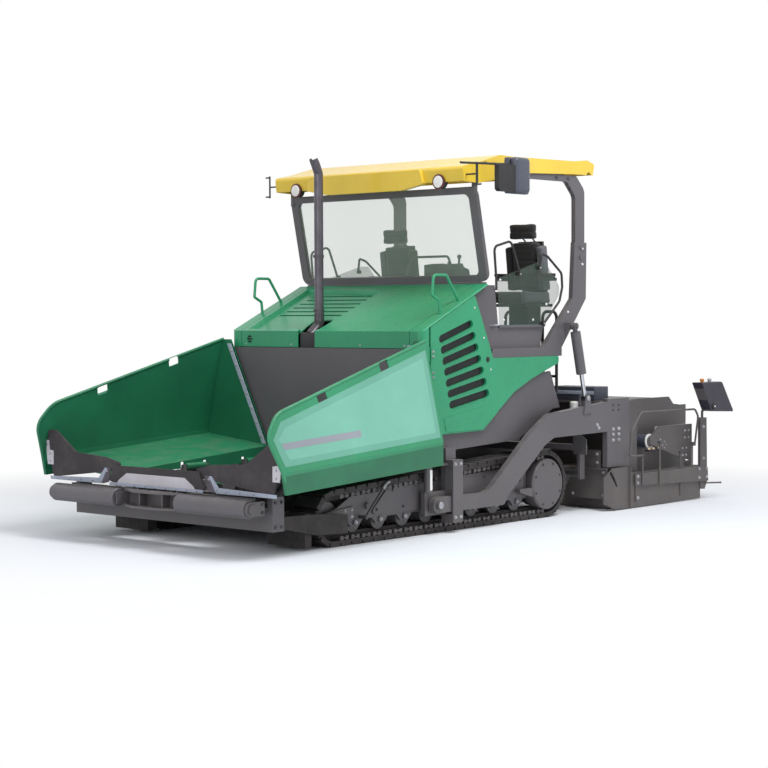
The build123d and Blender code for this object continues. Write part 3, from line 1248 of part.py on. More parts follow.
def end_gate(gate_y):
    """End gate with its bent front plate, height spindles, bar, post, hoop and control box."""
    face_y = gate_y + 20
    bar_y = face_y + 10
    rail_y = bar_y + 24
    gate = side_plate([(-1965, 12), (-3354, 12), (-3354, 380), (-1965, 380)], gate_y, face_y)
    plan = [
        (-1968, gate_y + 4),
        (-1700, gate_y + 4),
        (-1558, gate_y - 34),
        (-1558, gate_y - 20),
        (-1698, face_y),
        (-1968, face_y),
    ]
    nose = [(-1558, 349), (-1685, 445), (-1968, 445), (-1968, 12), (-1709, 12), (-1558, 78)]
    nose_plate = level_plate(plan, 0, 500) & side_plate(nose, gate_y - 60, face_y + 20)
    gate += nose_plate - slanted_slot(-1690, 330, 190, 30, -59, gate_y - 60, 120)
    gate += block(-1972, -1960, gate_y, face_y + 22, 12, 445)
    lever = [(-2047, 363), (-3326, 369), (-3471, 345), (-3485, 195), (-3326, 199), (-2048, 242)]
    gate += side_plate(lever, bar_y, bar_y + 15)
    post = [(-3336, 905), (-3468, 899), (-3480, 345), (-3485, 195), (-3432, 106), (-3340, 112), (-3340, 600)]
    gate += side_plate(post, gate_y, bar_y + 1)
    gate += block(-2100, -2070, face_y - 1, bar_y + 1, 68, 362)
    for x, low, high in ((-2164, 244, 560), (-2493, 205, 680)):
        gate += bar((x, rail_y, low), (x, rail_y, high), 10)
    gate += bar((-2946, face_y + 5, 70), (-2946, face_y + 5, 545), 9)
    gate += block(-3209, -3169, gate_y + 4, face_y, 379, 640)
    gate += block(-3209, -3169, face_y - 1, rail_y, 600, 640)
    hoop = [
        (-2164, rail_y, 553),
        (-1925, rail_y, 560),
        (-1963, rail_y, 819),
        (-2142, rail_y, 1013),
        (-3191, rail_y, 1003),
        (-3257, rail_y, 923),
        (-3189, rail_y, 620),
    ]
    gate += bent_tube(hoop, 11, [20, 80, 90, 60, 60])
    box_y = gate_y + 280
    box = [(-2869, 1306), (-3284, 1308), (-3522, 976), (-3076, 995)]
    gate += side_plate(box, box_y - 60, box_y + 60, [50, 40, 24, 60])
    arm = [(-3400, gate_y + 15, 880), (-3400, gate_y + 15, 980), (-3300, box_y - 50, 1020)]
    gate += bent_tube(arm, 14, 30)
    knob_x, knob_r = GATE_END_X + 12, 12
    gate += bar((-3440, bar_y, 172), (knob_x, bar_y + 150, 180), 9)
    return gate + Pos(knob_x, bar_y + 150, 180) * Sphere(knob_r)


def lift_direction():
    """Unit vector down the lift cylinder in the XZ plane."""
    dx, dz = LIFT_EYE[0] - LIFT_TOP[0], LIFT_EYE[1] - LIFT_TOP[1]
    length = math.hypot(dx, dz)
    return dx / length, dz / length


def lift_barrel():
    """Lift cylinder's barrel, hung from the rear post."""
    ux, uz = lift_direction()
    top_x, top_z = LIFT_TOP

    def along(distance):
        return top_x + distance * ux, LIFT_Y, top_z + distance * uz

    tube = bar(along(60), along(500), 52) + bar(along(0), along(62), 24)
    tube -= bar(along(90), along(480), 40)
    tube -= bar(along(470), along(510), 22 + SEAT_GAP)
    eye = along_y(top_x, top_z, LIFT_Y - 26, LIFT_Y + 26, 36)
    return tube + eye - along_y(top_x, top_z, LIFT_Y - 27, LIFT_Y + 27, 18 + SEAT_GAP)


def lift_rod():
    """Lift cylinder's rod with its lower eye."""
    ux, uz = lift_direction()
    top_x, top_z = LIFT_TOP
    eye_x, eye_z = LIFT_EYE
    rod = bar((top_x + 345 * ux, LIFT_Y, top_z + 345 * uz), (eye_x, LIFT_Y, eye_z), 22)
    return rod + along_y(eye_x, eye_z, LIFT_Y - 28, LIFT_Y + 28, 32)


def ladder():
    """Ladder and rails at the rear of the stand."""
    body = None
    for y in (540, 1020):
        rail = bent_tube([(-1250, y, 1250), (-1250, y, 2080), (-1010, y, 2080), (-1010, y, DECK_Z)], 16, 70)
        body = rail if body is None else body + rail
    for z in (1260, 1410, 1560):
        body += along_y(-1250, z, 540, 1020, 14)
    return body + block(-1260, DECK_REAR_X, 545, 1015, 1640, 1660)


SINGLE_NODES = {
    "chassis": chassis,
    "frame_floor": frame_floor,
    "centre_flap": centre_flap,
    "front_beam": front_beam,
    "deflectors": deflectors,
    "push_beam": push_beam,
    "front_plate": front_plate,
    "engine": engine,
    "exhaust": exhaust,
    "hood": hood,
    "platform": platform,
    "console": console,
    "roof": roof,
    "roof_fittings": roof_fittings,
    "windscreen_frame": windscreen_frame,
    "windscreen_glass": windscreen_glass,
    "handrails": handrails,
    "auger_case": auger_case,
    "screed": screed,
    "ladder": ladder,
}

# Nodes that hold a left solid and its mirror image
TWIN_NODES = {
    "track_frames": track_frame,
    "final_drives": final_drive,
    "cross_members": cross_members,
    "wing_hinges": wing_hinges,
    "conveyors": conveyor,
    "seat_frames": seat_frame,
    "side_glass": side_glass,
    "roof_posts": roof_post,
    "levelling_cylinders": levelling_cylinder,
    "tow_arms": tow_arm,
}

# Nodes made as a left one and a right one
PAIR_NODES = {
    "track": track,
    "wing": wing,
    "wing_flap": wing_flap,
    "push_roller": push_roller,
    "shoulder": shoulder,
    "door": door,
    "side_panel": side_panel,
    "rear_panel": rear_panel,
    "seat_cushion": seat_cushion,
    "auger": auger,
    "extension": extension,
    "wing_barrel": wing_barrel,
    "wing_rod": wing_rod,
    "lift_barrel": lift_barrel,
    "lift_rod": lift_rod,
}


def build():
    """Make every node."""
    os.makedirs("parts", exist_ok=True)
    for name, make in SINGLE_NODES.items():
        save(name, make())
    for name, make in TWIN_NODES.items():
        save(name, both(make()))
    for name, make in PAIR_NODES.items():
        save_pair(name, make())


build()
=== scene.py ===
"""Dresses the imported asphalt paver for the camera: finishes, soft seats, trim, fasteners, light and floor."""

import math
from itertools import product

import bmesh
import bpy
from mathutils import Matrix, Vector


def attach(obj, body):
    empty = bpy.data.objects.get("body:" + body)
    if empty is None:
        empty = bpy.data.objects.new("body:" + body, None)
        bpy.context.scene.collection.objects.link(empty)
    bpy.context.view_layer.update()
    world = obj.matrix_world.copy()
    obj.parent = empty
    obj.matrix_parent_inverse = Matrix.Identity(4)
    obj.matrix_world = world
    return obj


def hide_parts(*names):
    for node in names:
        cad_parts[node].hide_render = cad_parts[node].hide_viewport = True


# Camera, fitted to pairs of points that are symmetric on the machine
CAMERA_PLACE = (14.406, 12.515, 2.083)
CAMERA_AZIMUTH = 41.57
CAMERA_PITCH = 2.21
CAMERA_ROLL = -0.22
FOCAL_PIXELS = 1867.2
FRAME_PIXELS = 768
SENSOR = 36.0

# Backdrop, floor colours from 0 to 255, and the distances over which the floor turns into the backdrop
BACKDROP_COLOR = (1, 1, 1, 1)
BACKDROP_LEVEL = 1.0
FLOOR_COLORS = ((238, 242, 250), (244, 247, 252))
FLOOR_FADE = (3.6, 7.5)
FLOOR_SIZE = 90

# Light: the world's level, and each lamp's place, aim, size and power
WORLD_LEVEL = 0.58
KEY_LAMP = ((0.5, 5.5, 9.5), (0.5, 0.3, 1.0), 4.0, 640)
FRONT_FILL = ((12, 3, 5), (1.0, 0, 1.2), 6.0, 240)

# Colours of dirt and wear, from 0 to 255
GRIME = (104, 97, 90)
DUST = (158, 152, 142)
SCUFF = (134, 130, 126)
RUST = (96, 70, 52)
RUBBER_DUST = (118, 112, 110)
ROOF_STREAK = (150, 138, 110)
ROOF_DUST = (196, 180, 130)
GLASS_FILM = (150, 160, 152)

# Machine sizes that the trim follows, in metres
SIDES = (("left", 1), ("right", -1))
AHEAD = (1, 0, 0)
UP = (0, 0, 1)
FLAP_FACE = 3.343
WALL_FOOT = (1.6, 0.75)
WALL_LEAN = 0.23
STRIP_FACE = 1.3
STRIP_THICK = 0.008
STRIP_TOP = (1.21, 1.77)
STRIP_FOOT = (0.715, 0.775)
STRIP_BOLTS = 7
FLAP_TRIM = 0.007
CENTRE_FLAP_FACE = 3.365
SEAT_Y = 0.868
ARM_REACH = 0.257
POST_FACE = 1.24
PANE_FACE = 1.206
HOOD_FRONT_X = 1.2
HOOD_FRONT_Z = 1.9
HOOD_SLOPE = 0.456
HOOD_PAN_DEPTH = 0.044
DOOR_FACE = 1.262
DOOR_BACK = 1.232
DOOR_HINGE_ROWS = (1.688, 1.49)
STACK = (1.03, -0.2)
STACK_RADIUS = 0.0505
STACK_CLAMP = 0.028
LAMP_PLACE = (0.956, 3.332)
TRACK_MIDDLE = 1.0975
SPROCKET_X = -0.76
IDLER_X = 2.37
LINK_PITCH = 0.1454
LINK_COUNT = 21
DRIVE_CENTRE = (-0.75, 0.342)
DRIVE_BOLT_RADIUS = 0.215
TOW_ARM_FACE = 1.38
TOW_PLATE_ROWS = (-1.753, -1.854)
GATE_FACE = 1.44
GATE_BAR_FACE = 1.465
GATE_RAIL_Y = 1.474
GUIDE_TUBE = (-2.52, 0.68)
GUIDE_RADIUS = 0.0735
BRACKET_FACE = 1.35
RIB_COUNT = 21

# Soft pads: eased edge, remesh size, air pressure, steps of the simulation, and how far a point may move
PAD_EDGE = 0.018
PAD_VOXEL = 0.009
PAD_PRESSURE = 4
PAD_STEPS = 15
PAD_SWELL = 0.009
BOLSTER_SWELL = 0.006

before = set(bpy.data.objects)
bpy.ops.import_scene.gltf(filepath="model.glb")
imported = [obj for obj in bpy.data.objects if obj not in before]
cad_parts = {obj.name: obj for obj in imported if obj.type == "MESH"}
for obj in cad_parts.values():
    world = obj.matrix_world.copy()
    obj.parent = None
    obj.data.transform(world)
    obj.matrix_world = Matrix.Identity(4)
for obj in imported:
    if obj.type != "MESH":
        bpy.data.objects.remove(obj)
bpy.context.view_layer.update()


def linear(color):
    """Linear colour from the 0 to 255 values of a display colour."""
    values = []
    for value in color:
        share = value / 255
        values.append(share / 12.92 if share <= 0.04045 else ((share + 0.055) / 1.055) ** 2.4)
    return (*values, 1)


def scaled(base, factor, lift=0.0):
    """A linear colour made darker or lighter."""
    return (*(min(1, channel * factor + lift) for channel in base[:3]), 1)


class Nodes:
    """A material's node tree with short calls to add and join nodes."""

    def __init__(self, name):
        self.material = bpy.data.materials.new(name)
        self.material.use_nodes = True
        self.tree = self.material.node_tree
        self.tree.nodes.clear()
        self.shader = self.add("BsdfPrincipled")
        self.add("OutputMaterial", Surface=self.shader.outputs[0])
        self.place = self.add("TexCoord").outputs["Object"]

    def add(self, kind, **inputs):
        """A new node with its inputs set or linked by name."""
        node = self.tree.nodes.new("ShaderNode" + kind)
        for name, value in inputs.items():
            self.feed(node.inputs[name], value)
        return node

    def feed(self, socket, value):
        """Set a socket to a number or colour, or link it to another socket."""
        if isinstance(value, bpy.types.NodeSocket):
            self.tree.links.new(value, socket)
        else:
            socket.default_value = value

    def give(self, name, value):
        """Set or link one of the shader's inputs."""
        self.feed(self.shader.inputs[name], value)

    def mapped(self, scale):
        """The object's own space, stretched along its axes."""
        return self.add("Mapping", Vector=self.place, Scale=scale).outputs[0]

    def noise(self, scale, detail=4, roughness=0.55, stretch=None):
        """Noise from 0 to 1 over the object's own space."""
        place = self.mapped(stretch) if stretch else self.place
        node = self.add("TexNoise", Vector=place, Scale=scale, Detail=detail, Roughness=roughness)
        return node.outputs["Fac"]

    def math(self, operation, first, second=0.5):
        """One math node."""
        node = self.add("Math")
        node.operation = operation
        self.feed(node.inputs[0], first)
        self.feed(node.inputs[1], second)
        return node.outputs[0]

    def times(self, first, second):
        """The product of two values."""
        return self.math("MULTIPLY", first, second)

    def span(self, value, low, high, to_low=0.0, to_high=1.0):
        """Map a value's span to another, clamped."""
        node = self.add("MapRange", Value=value)
        for name, number in (("From Min", low), ("From Max", high), ("To Min", to_low), ("To Max", to_high)):
            node.inputs[name].default_value = number
        return node.outputs["Result"]

    def mix(self, factor, first, second):
        """Blend two colours."""
        node = self.add("Mix")
        node.data_type = "RGBA"
        self.feed(node.inputs["Factor"], factor)
        self.feed(node.inputs["A"], first)
        self.feed(node.inputs["B"], second)
        return node.outputs["Result"]

    def axis(self, source, index):
        """One coordinate of a vector."""
        return self.add("SeparateXYZ", Vector=source).outputs[index]

    def facing_up(self):
        """How far the surface looks up, from 0 to 1."""
        return self.span(self.axis(self.add("NewGeometry").outputs["Normal"], 2), 0.35, 0.95)

    def bump(self, height, strength, distance):
        """A bumped normal for the shader."""
        node = self.add("Bump", Height=height, Strength=strength, Distance=distance)
        self.give("Normal", node.outputs[0])


def inner_wall_shade(n):
    """How far a point lies on the steep inner face of a hopper wing, where painted shade darkens the paint,
    broken up by noise.
    """
    lean = n.times(n.math("SUBTRACT", n.axis(n.place, 2), WALL_FOOT[1]), WALL_LEAN)
    reach = n.math("ADD", n.math("ABSOLUTE", n.axis(n.place, 1)), lean)
    inside = n.span(reach, WALL_FOOT[0] - 0.006, WALL_FOOT[0] - 0.01)
    steep = n.math("SUBTRACT", 1.0, n.facing_up())
    return n.times(n.times(inside, steep), n.span(n.noise(2.1, 6), 0.3, 0.7, 0.55, 0.8))


def paint(name, color, roughness=0.38, dirt=0.35, wear=0.2, metallic=0.0, shade=0.86, hopper=False):
    """Enamel on steel: cloudy colour, road dust low down and on top, scuffs and fine orange peel, and with
    hopper set, painted shade on the steep inner faces of the wings.
    """
    n = Nodes(name)
    base = linear(color)
    tone = n.mix(n.span(n.noise(1.3, 5), 0.35, 0.68), scaled(base, shade), base)
    low = n.span(n.axis(n.place, 2), 1.15, 0.12)
    grime = n.times(n.times(low, n.span(n.noise(4.2, 7, 0.68), 0.38, 0.66)), dirt)
    tone = n.mix(grime, tone, linear(GRIME))
    dust = n.times(n.times(n.facing_up(), n.span(n.noise(7, 6), 0.4, 0.75)), dirt * 0.8)
    tone = n.mix(dust, tone, linear(DUST))
    scuff = n.times(n.span(n.noise(11, 9, 0.78, (1, 1, 2.2)), 0.67, 0.74), wear)
    tone = n.mix(scuff, tone, linear(SCUFF))
    # Painted shade: the steep inner faces of the hopper wings are darkened to about a third of the colour.
    if hopper:
        tone = n.mix(inner_wall_shade(n), tone, scaled(base, 0.34))
    n.give("Base Color", tone)
    n.give("Roughness", n.span(n.noise(38, 8, 0.7), 0.3, 0.7, roughness - 0.07, roughness + 0.12))
    n.give("Metallic", metallic)
    n.bump(n.noise(240, 3), 0.12, 0.001)
    return n.material


def steel(name, color, roughness=0.42, metallic=0.85, rust=0.25, grain=(1, 1, 14)):
    """Bare or worn steel with brushed grain, dull patches and a little rust."""
    n = Nodes(name)
    base = linear(color)
    tone = n.mix(n.span(n.noise(6, 7, 0.66), 0.36, 0.66), scaled(base, 0.6), base)
    stain = n.times(n.span(n.noise(9, 8, 0.75), 0.56, 0.7), rust)
    n.give("Base Color", n.mix(stain, tone, linear(RUST)))
    n.give("Metallic", metallic)
    n.give("Roughness", n.span(n.noise(17, 6, 0.7), 0.3, 0.7, roughness - 0.1, roughness + 0.16))
    n.bump(n.noise(26, 4, 0.6, grain), 0.18, 0.0012)
    return n.material


def rubber(name, color):
    """Thick rubber with pale dust in its hollows and a fine grain."""
    n = Nodes(name)
    hollows = n.times(n.span(n.noise(3.5, 8, 0.7), 0.45, 0.72), 0.22)
    n.give("Base Color", n.mix(hollows, linear(color), linear(RUBBER_DUST)))
    n.give("Roughness", 0.78)
    n.bump(n.noise(130, 6, 0.7), 0.35, 0.002)
    return n.material


def cloth(name, color):
    """Woven seat cloth: fine crossing threads, faint wear and sheen."""
    n = Nodes(name)
    base = linear(color)
    threads = []
    for stretch in ((1, 0, 0.2), (0.2, 1, 1)):
        wave = n.add("TexWave", Vector=n.mapped(stretch), Scale=190, Distortion=1.2)
        threads.append(wave.outputs["Fac"])
    weave = n.times(*threads)
    worn = n.times(weave, n.span(n.noise(5, 4), 0.3, 0.7, 0.35, 0.8))
    n.give("Base Color", n.mix(worn, base, scaled(base, 1.9, 0.012)))
    n.give("Roughness", 0.88)
    n.give("Sheen Weight", 0.3)
    n.bump(weave, 0.4, 0.0012)
    return n.material


def shell(name, color, roughness=0.3):
    """Moulded plastic shell with a faint gloss layer, streaks of dust and a fine skin."""
    n = Nodes(name)
    base = linear(color)
    tone = n.mix(n.span(n.noise(0.9, 4), 0.35, 0.7), scaled(base, 0.88), base)
    streaks = n.times(n.span(n.noise(5, 6, 0.7, (1, 1, 0.25)), 0.55, 0.75), 0.16)
    tone = n.mix(streaks, tone, linear(ROOF_STREAK))
    dust = n.times(n.times(n.facing_up(), n.noise(4, 6)), 0.35)
    n.give("Base Color", n.mix(dust, tone, linear(ROOF_DUST)))
    n.give("Coat Weight", 0.25)
    n.give("Roughness", n.span(n.noise(21, 5), 0.3, 0.7, roughness - 0.05, roughness + 0.14))
    n.bump(n.noise(160, 3), 0.1, 0.001)
    return n.material


def glass(name, color, see):
    """Tinted pane that lets part of the light straight through, with a dusty film."""
    n = Nodes(name)
    n.give("Roughness", n.span(n.noise(6, 7, 0.7), 0.4, 0.75, 0.05, 0.23))
    n.give("Base Color", n.mix(n.times(n.noise(3, 5), 0.25), linear(color), linear(GLASS_FILM)))
    n.give("Alpha", 1 - see)
    n.give("Specular IOR Level", 0.6)
    return n.material


def plastic(name, color, roughness):
    """Moulded plastic or powder coat with a leather-like grain."""
    n = Nodes(name)
    base = linear(color)
    n.give("Base Color", n.mix(n.span(n.noise(3, 6, 0.65), 0.4, 0.75), base, scaled(base, 1.35, 0.006)))
    n.give("Roughness", n.span(n.noise(14, 5), 0.3, 0.7, roughness - 0.08, roughness + 0.1))
    n.bump(n.noise(90, 4, 0.6), 0.25, 0.0012)
    return n.material


LOOKS = {
    "green": paint("green enamel", (48, 158, 112), 0.3, 0.12, 0.05),
    # Hopper wings: green enamel with painted shade on their inner faces.
    "wing_green": paint("hopper green enamel", (46, 148, 104), 0.36, 0.3, 0.16, shade=0.84, hopper=True),
    "pale_green": paint("pale green field", (122, 190, 168), 0.34, 0.16, 0.08),
    "field_green": paint("border green field", (108, 176, 154), 0.34, 0.16, 0.08),
    "yellow": shell("yellow roof shell", (238, 203, 66)),
    "grey": paint("dark grey enamel", (98, 95, 99), 0.42, 0.5, 0.2),
    "side_grey": paint("side wall grey enamel", (92, 89, 93), 0.46, 0.4, 0.12),
    "screed": paint("screed brown grey enamel", (92, 88, 89), 0.5, 0.55, 0.3),
    "black": plastic("black powder coat", (34, 33, 35), 0.48),
    "blue_grey": paint("blue grey strip", (172, 181, 200), 0.4, 0.22, 0.12),
    "dark_blue": paint("dark blue grey box", (66, 70, 84), 0.42, 0.3, 0.14),
    "band": paint("grey band", (152, 157, 166), 0.4, 0.12, 0.06),
    "plate": paint("pale plate", (202, 198, 206), 0.4, 0.25, 0.16),
    "track": steel("track steel", (66, 62, 62), 0.6, 0.35, 0.2),
    "links": steel("link steel", (104, 100, 102), 0.5, 0.3, 0.12),
    "roller": paint("push roller steel", (106, 103, 108), 0.4, 0.3, 0.14, 0.3),
    "worn": steel("worn steel", (120, 118, 120), 0.42, 0.7, 0.3),
    "bolt": steel("zinc bolt", (196, 196, 202), 0.34, 0.4, 0.08, (1, 1, 1)),
    "dark_bolt": steel("painted bolt", (92, 90, 94), 0.45, 0.4, 0.1, (1, 1, 1)),
    "chrome": steel("chromed rod", (214, 216, 222), 0.16, 1.0, 0.0),
    "rubber": rubber("flap rubber", (54, 49, 53)),
    "cloth": cloth("black seat cloth", (26, 26, 29)),
    "bolster": cloth("grey bolster cloth", (84, 86, 92)),
    "glass": glass("windscreen glass", (184, 204, 188), 0.8),
    "dark_glass": glass("side pane glass", (56, 80, 68), 0.72),
    "stack": steel("stack steel", (104, 99, 108), 0.36, 0.55, 0.12, (1, 1, 1)),
    "slate": paint("slate blue housing", (76, 80, 94), 0.28, 0.12, 0.05),
    "brass": steel("brass nut", (222, 196, 168), 0.34, 0.4, 0.06, (1, 1, 1)),
    "white": plastic("white scale", (226, 226, 224), 0.4),
    "violet": plastic("dark control box shell", (44, 40, 52), 0.34),
    "lamp": plastic("lamp face", (232, 230, 226), 0.25),
    "lamp_rim": plastic("lamp rim", (94, 34, 34), 0.4),
    # The same dark finish also stands in as painted shade for the tow plate's holes.
    "mesh": plastic("dark grille mesh and painted hole shade", (22, 24, 26), 0.6),
    "amber": shell("amber lens", (214, 126, 30), 0.2),
}

# The CAD nodes of each finish, and parts of names that give one
NODE_LOOKS = {
    "wing_green": ("wing_left", "wing_right"),
    "green": ("hood",),
    "yellow": ("roof",),
    "rubber": ("centre_flap", "wing_flap_left", "wing_flap_right"),
    "track": ("track_left", "track_right", "deflectors"),
    "roller": ("push_roller_left", "push_roller_right"),
    "worn": ("conveyors", "auger_left", "auger_right"),
    "screed": ("screed", "extension_left", "extension_right"),
    "black": ("engine", "ladder", "seat_frames", "console", "handrails", "roof_fittings"),
    "stack": ("exhaust",),
    "glass": ("windscreen_glass",),
    "dark_glass": ("side_glass",),
    "side_grey": ("side_panel_left", "side_panel_right"),
}
NAME_LOOKS = (("shoulder", "green"), ("door", "green"), ("rear_panel", "green"), ("_rod_", "chrome"))


def look_of(node):
    """The finish of a CAD node."""
    for look, nodes in NODE_LOOKS.items():
        if node in nodes:
            return look
    for part, look in NAME_LOOKS:
        if part in node:
            return look
    return "grey"


for node_name, node_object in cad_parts.items():
    finish = LOOKS[look_of(node_name)]
    if not node_object.material_slots:
        node_object.data.materials.append(finish)
    for material_slot in node_object.material_slots:
        material_slot.material = finish


def new_object(name, data):
    """A new object in the scene."""
    made = bpy.data.objects.new(name, data)
    bpy.context.collection.objects.link(made)
    return made


def evaluated_mesh(piece):
    """The mesh that an object's curve or modifiers make."""
    bpy.context.view_layer.update()
    return bpy.data.meshes.new_from_object(piece.evaluated_get(bpy.context.evaluated_depsgraph_get()))


def finish_piece(name, mesh, look, body):
    """Turn a mesh into a piece with its finish that rides on a body."""
    piece = new_object(name, mesh)
    mesh.materials.clear()
    mesh.materials.append(LOOKS[look])
    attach(piece, body)
    return piece


def from_bmesh(name, bm, look, body):
    """Turn a bmesh into a piece."""
    bmesh.ops.recalc_face_normals(bm, faces=bm.faces)
    mesh = bpy.data.meshes.new(name)
    bm.to_mesh(mesh)
    bm.free()
    return finish_piece(name, mesh, look, body)


def turned(axis):
    """A matrix that turns Z to an axis."""
    return Vector(axis).normalized().to_track_quat("Z", "Y").to_matrix().to_4x4()


def add_ring(bm, place, axis, profile, sides):
    """Add a turned solid: profile rows are (radius, distance along the axis)."""
    matrix = Matrix.Translation(place) @ turned(axis)
    rings = []
    for radius, reach in profile:
        ring = []
        for index in range(sides):
            angle = 2 * math.pi * index / sides
            point = matrix @ Vector((radius * math.cos(angle), radius * math.sin(angle), reach))
            ring.append(bm.verts.new(point))
        rings.append(ring)
    for low, high in zip(rings, rings[1:]):
        for index in range(sides):
            other = (index + 1) % sides
            bm.faces.new((low[index], low[other], high[other], high[index]))
    bm.faces.new(rings[0][::-1])
    bm.faces.new(rings[-1])


def round_piece(name, place, axis, profile, sides, look, body):
    """One turned solid as a piece."""
    bm = bmesh.new()
    add_ring(bm, place, axis, profile, sides)
    return from_bmesh(name, bm, look, body)


def add_bolt(bm, place, axis, size=0.012):
    """Add a hexagon head on a washer, size being the head's half width."""
    washer = [(size * 1.45, -0.001), (size * 1.45, size * 0.22), (size * 1.3, size * 0.3)]
    add_ring(bm, place, axis, washer, 16)
    head = [(size * 1.02, size * 0.28), (size * 1.02, size * 0.95), (size * 0.84, size * 1.15)]
    add_ring(bm, place, axis, head, 6)


def bolts(name, places, axis, body, size=0.012, look="bolt"):
    """One piece with a row of bolts that look along one axis."""
    bm = bmesh.new()
    for place in places:
        add_bolt(bm, place, axis, size)
    return from_bmesh(name, bm, look, body)


def side_bolts(name, y, spots, body, size=0.012, look="bolt"):
    """One piece with bolts at (x, z) spots of a face that looks to the side."""
    return bolts(name, [(x, y, z) for x, z in spots], (0, math.copysign(1, y), 0), body, size, look)


def rectangle(a0, a1, b0, b1):
    """The corners of a rectangle in two coordinates."""
    return ((a0, b0), (a1, b0), (a1, b1), (a0, b1))


def add_plate(bm, points, thickness, toward, edge=0.0015):
    """Add a flat plate through 3D points, raised toward a direction, its free edge eased."""
    normal = (Vector(points[1]) - Vector(points[0])).cross(Vector(points[2]) - Vector(points[1])).normalized()
    if normal.dot(Vector(toward)) < 0:
        normal = -normal
        points = points[::-1]
    middle = sum((Vector(p) for p in points), Vector()) / len(points)
    rows = []
    for inset, height in ((0.0, 0.0), (0.0, thickness - edge), (edge, thickness)):
        row = []
        for point in points:
            inward = (middle - Vector(point)).normalized() * inset * 1.5
            row.append(bm.verts.new(Vector(point) + inward + normal * height))
        rows.append(row)
    count = len(points)
    for low, high in zip(rows, rows[1:]):
        for index in range(count):
            other = (index + 1) % count
            bm.faces.new((low[index], low[other], high[other], high[index]))
    bm.faces.new(rows[0][::-1])
    bm.faces.new(rows[-1])


def plates(name, outlines, thickness, toward, look, body, edge=0.0015):
    """Flat plates through lists of 3D points as one piece."""
    bm = bmesh.new()
    for points in outlines:
        add_plate(bm, points, thickness, toward, edge)
    return from_bmesh(name, bm, look, body)


def plate(name, points, thickness, toward, look, body, edge):
    """One flat plate as a piece."""
    return plates(name, [points], thickness, toward, look, body, edge)


def side_plate(name, y, outline, thickness, look, body, edge):
    """A plate with an (x, z) outline on a face that looks to the side."""
    points = [(x, y, z) for x, z in outline]
    return plate(name, points, thickness, (0, y, 0), look, body, edge)


def tube(name, points, radius, look, body, bend=0.05):
    """A rigid bent tube as a piece, its corners rounded by a bend radius."""
    path = [Vector(p) for p in points]
    smooth = [path[0]]
    for before, corner, after in zip(path, path[1:], path[2:]):
        into, out = (before - corner), (after - corner)
        reach = min(bend, into.length / 2, out.length / 2)
        start, end = corner + into.normalized() * reach, corner + out.normalized() * reach
        for index in range(7):
            share = index / 6
            smooth.append(start * (1 - share) ** 2 + corner * 2 * share * (1 - share) + end * share**2)
    smooth.append(path[-1])
    curve = bpy.data.curves.new(name + "_line", "CURVE")
    curve.dimensions = "3D"
    curve.bevel_depth = radius
    curve.bevel_resolution = 3
    curve.use_fill_caps = True
    spline = curve.splines.new("POLY")
    spline.points.add(len(smooth) - 1)
    for point, place in zip(spline.points, smooth):
        point.co = (*place, 1)
    maker = new_object(name + "_maker", curve)
    mesh = evaluated_mesh(maker)
    bpy.data.objects.remove(maker)
    mesh.name = name
    mesh.shade_smooth()
    finish_piece(name, mesh, look, body)


def rounded_box(name, corner, opposite, radius, look, body, segments=3):
    """A box with rounded edges as a piece, from two opposite corners."""
    low = Vector([*map(min, corner, opposite)])
    high = Vector([*map(max, corner, opposite)])
    matrix = Matrix.Translation((high + low) / 2) @ Matrix.Diagonal((*(high - low), 1))
    bm = bmesh.new()
    bmesh.ops.create_cube(bm, size=1)
    bmesh.ops.transform(bm, matrix=matrix, verts=bm.verts)
    bmesh.ops.bevel(bm, geom=bm.edges[:], offset=radius, segments=segments, affect="EDGES", profile=0.5)
    from_bmesh(name, bm, look, body).data.shade_smooth()


def both_sides(*makers):
    """Make the pieces of each side in turn."""
    for side, sign in SIDES:
        for maker in makers:
            maker(side, sign)


# Camera, light and floor


def add_camera():
    """The photograph's viewpoint."""
    azimuth, pitch, roll = (math.radians(v) for v in (CAMERA_AZIMUTH, CAMERA_PITCH, CAMERA_ROLL))
    level = math.cos(pitch)
    look = Vector((-math.cos(azimuth) * level, -math.sin(azimuth) * level, -math.sin(pitch)))
    right = look.cross(Vector(UP)).normalized()
    up = right.cross(look)
    right, up = (
        right * math.cos(roll) + up * math.sin(roll),
        up * math.cos(roll) - right * math.sin(roll),
    )
    data = bpy.data.cameras.new("photo_camera")
    data.sensor_width = SENSOR
    data.lens = FOCAL_PIXELS / FRAME_PIXELS * SENSOR
    data.clip_end = 200
    camera = new_object("photo_camera", data)
    matrix = Matrix((right, up, -look)).transposed().to_4x4()
    matrix.translation = CAMERA_PLACE
    camera.matrix_world = matrix
    bpy.context.scene.camera = camera


def add_lamp(name, place, aim, size, power):
    """A soft square lamp that looks at a point."""
    data = bpy.data.lights.new(name, "AREA")
    data.size = size
    data.energy = power
    lamp = new_object(name, data)
    direction = Vector(aim) - Vector(place)
    lamp.matrix_world = Matrix.Translation(place) @ direction.to_track_quat("-Z", "Y").to_matrix().to_4x4()


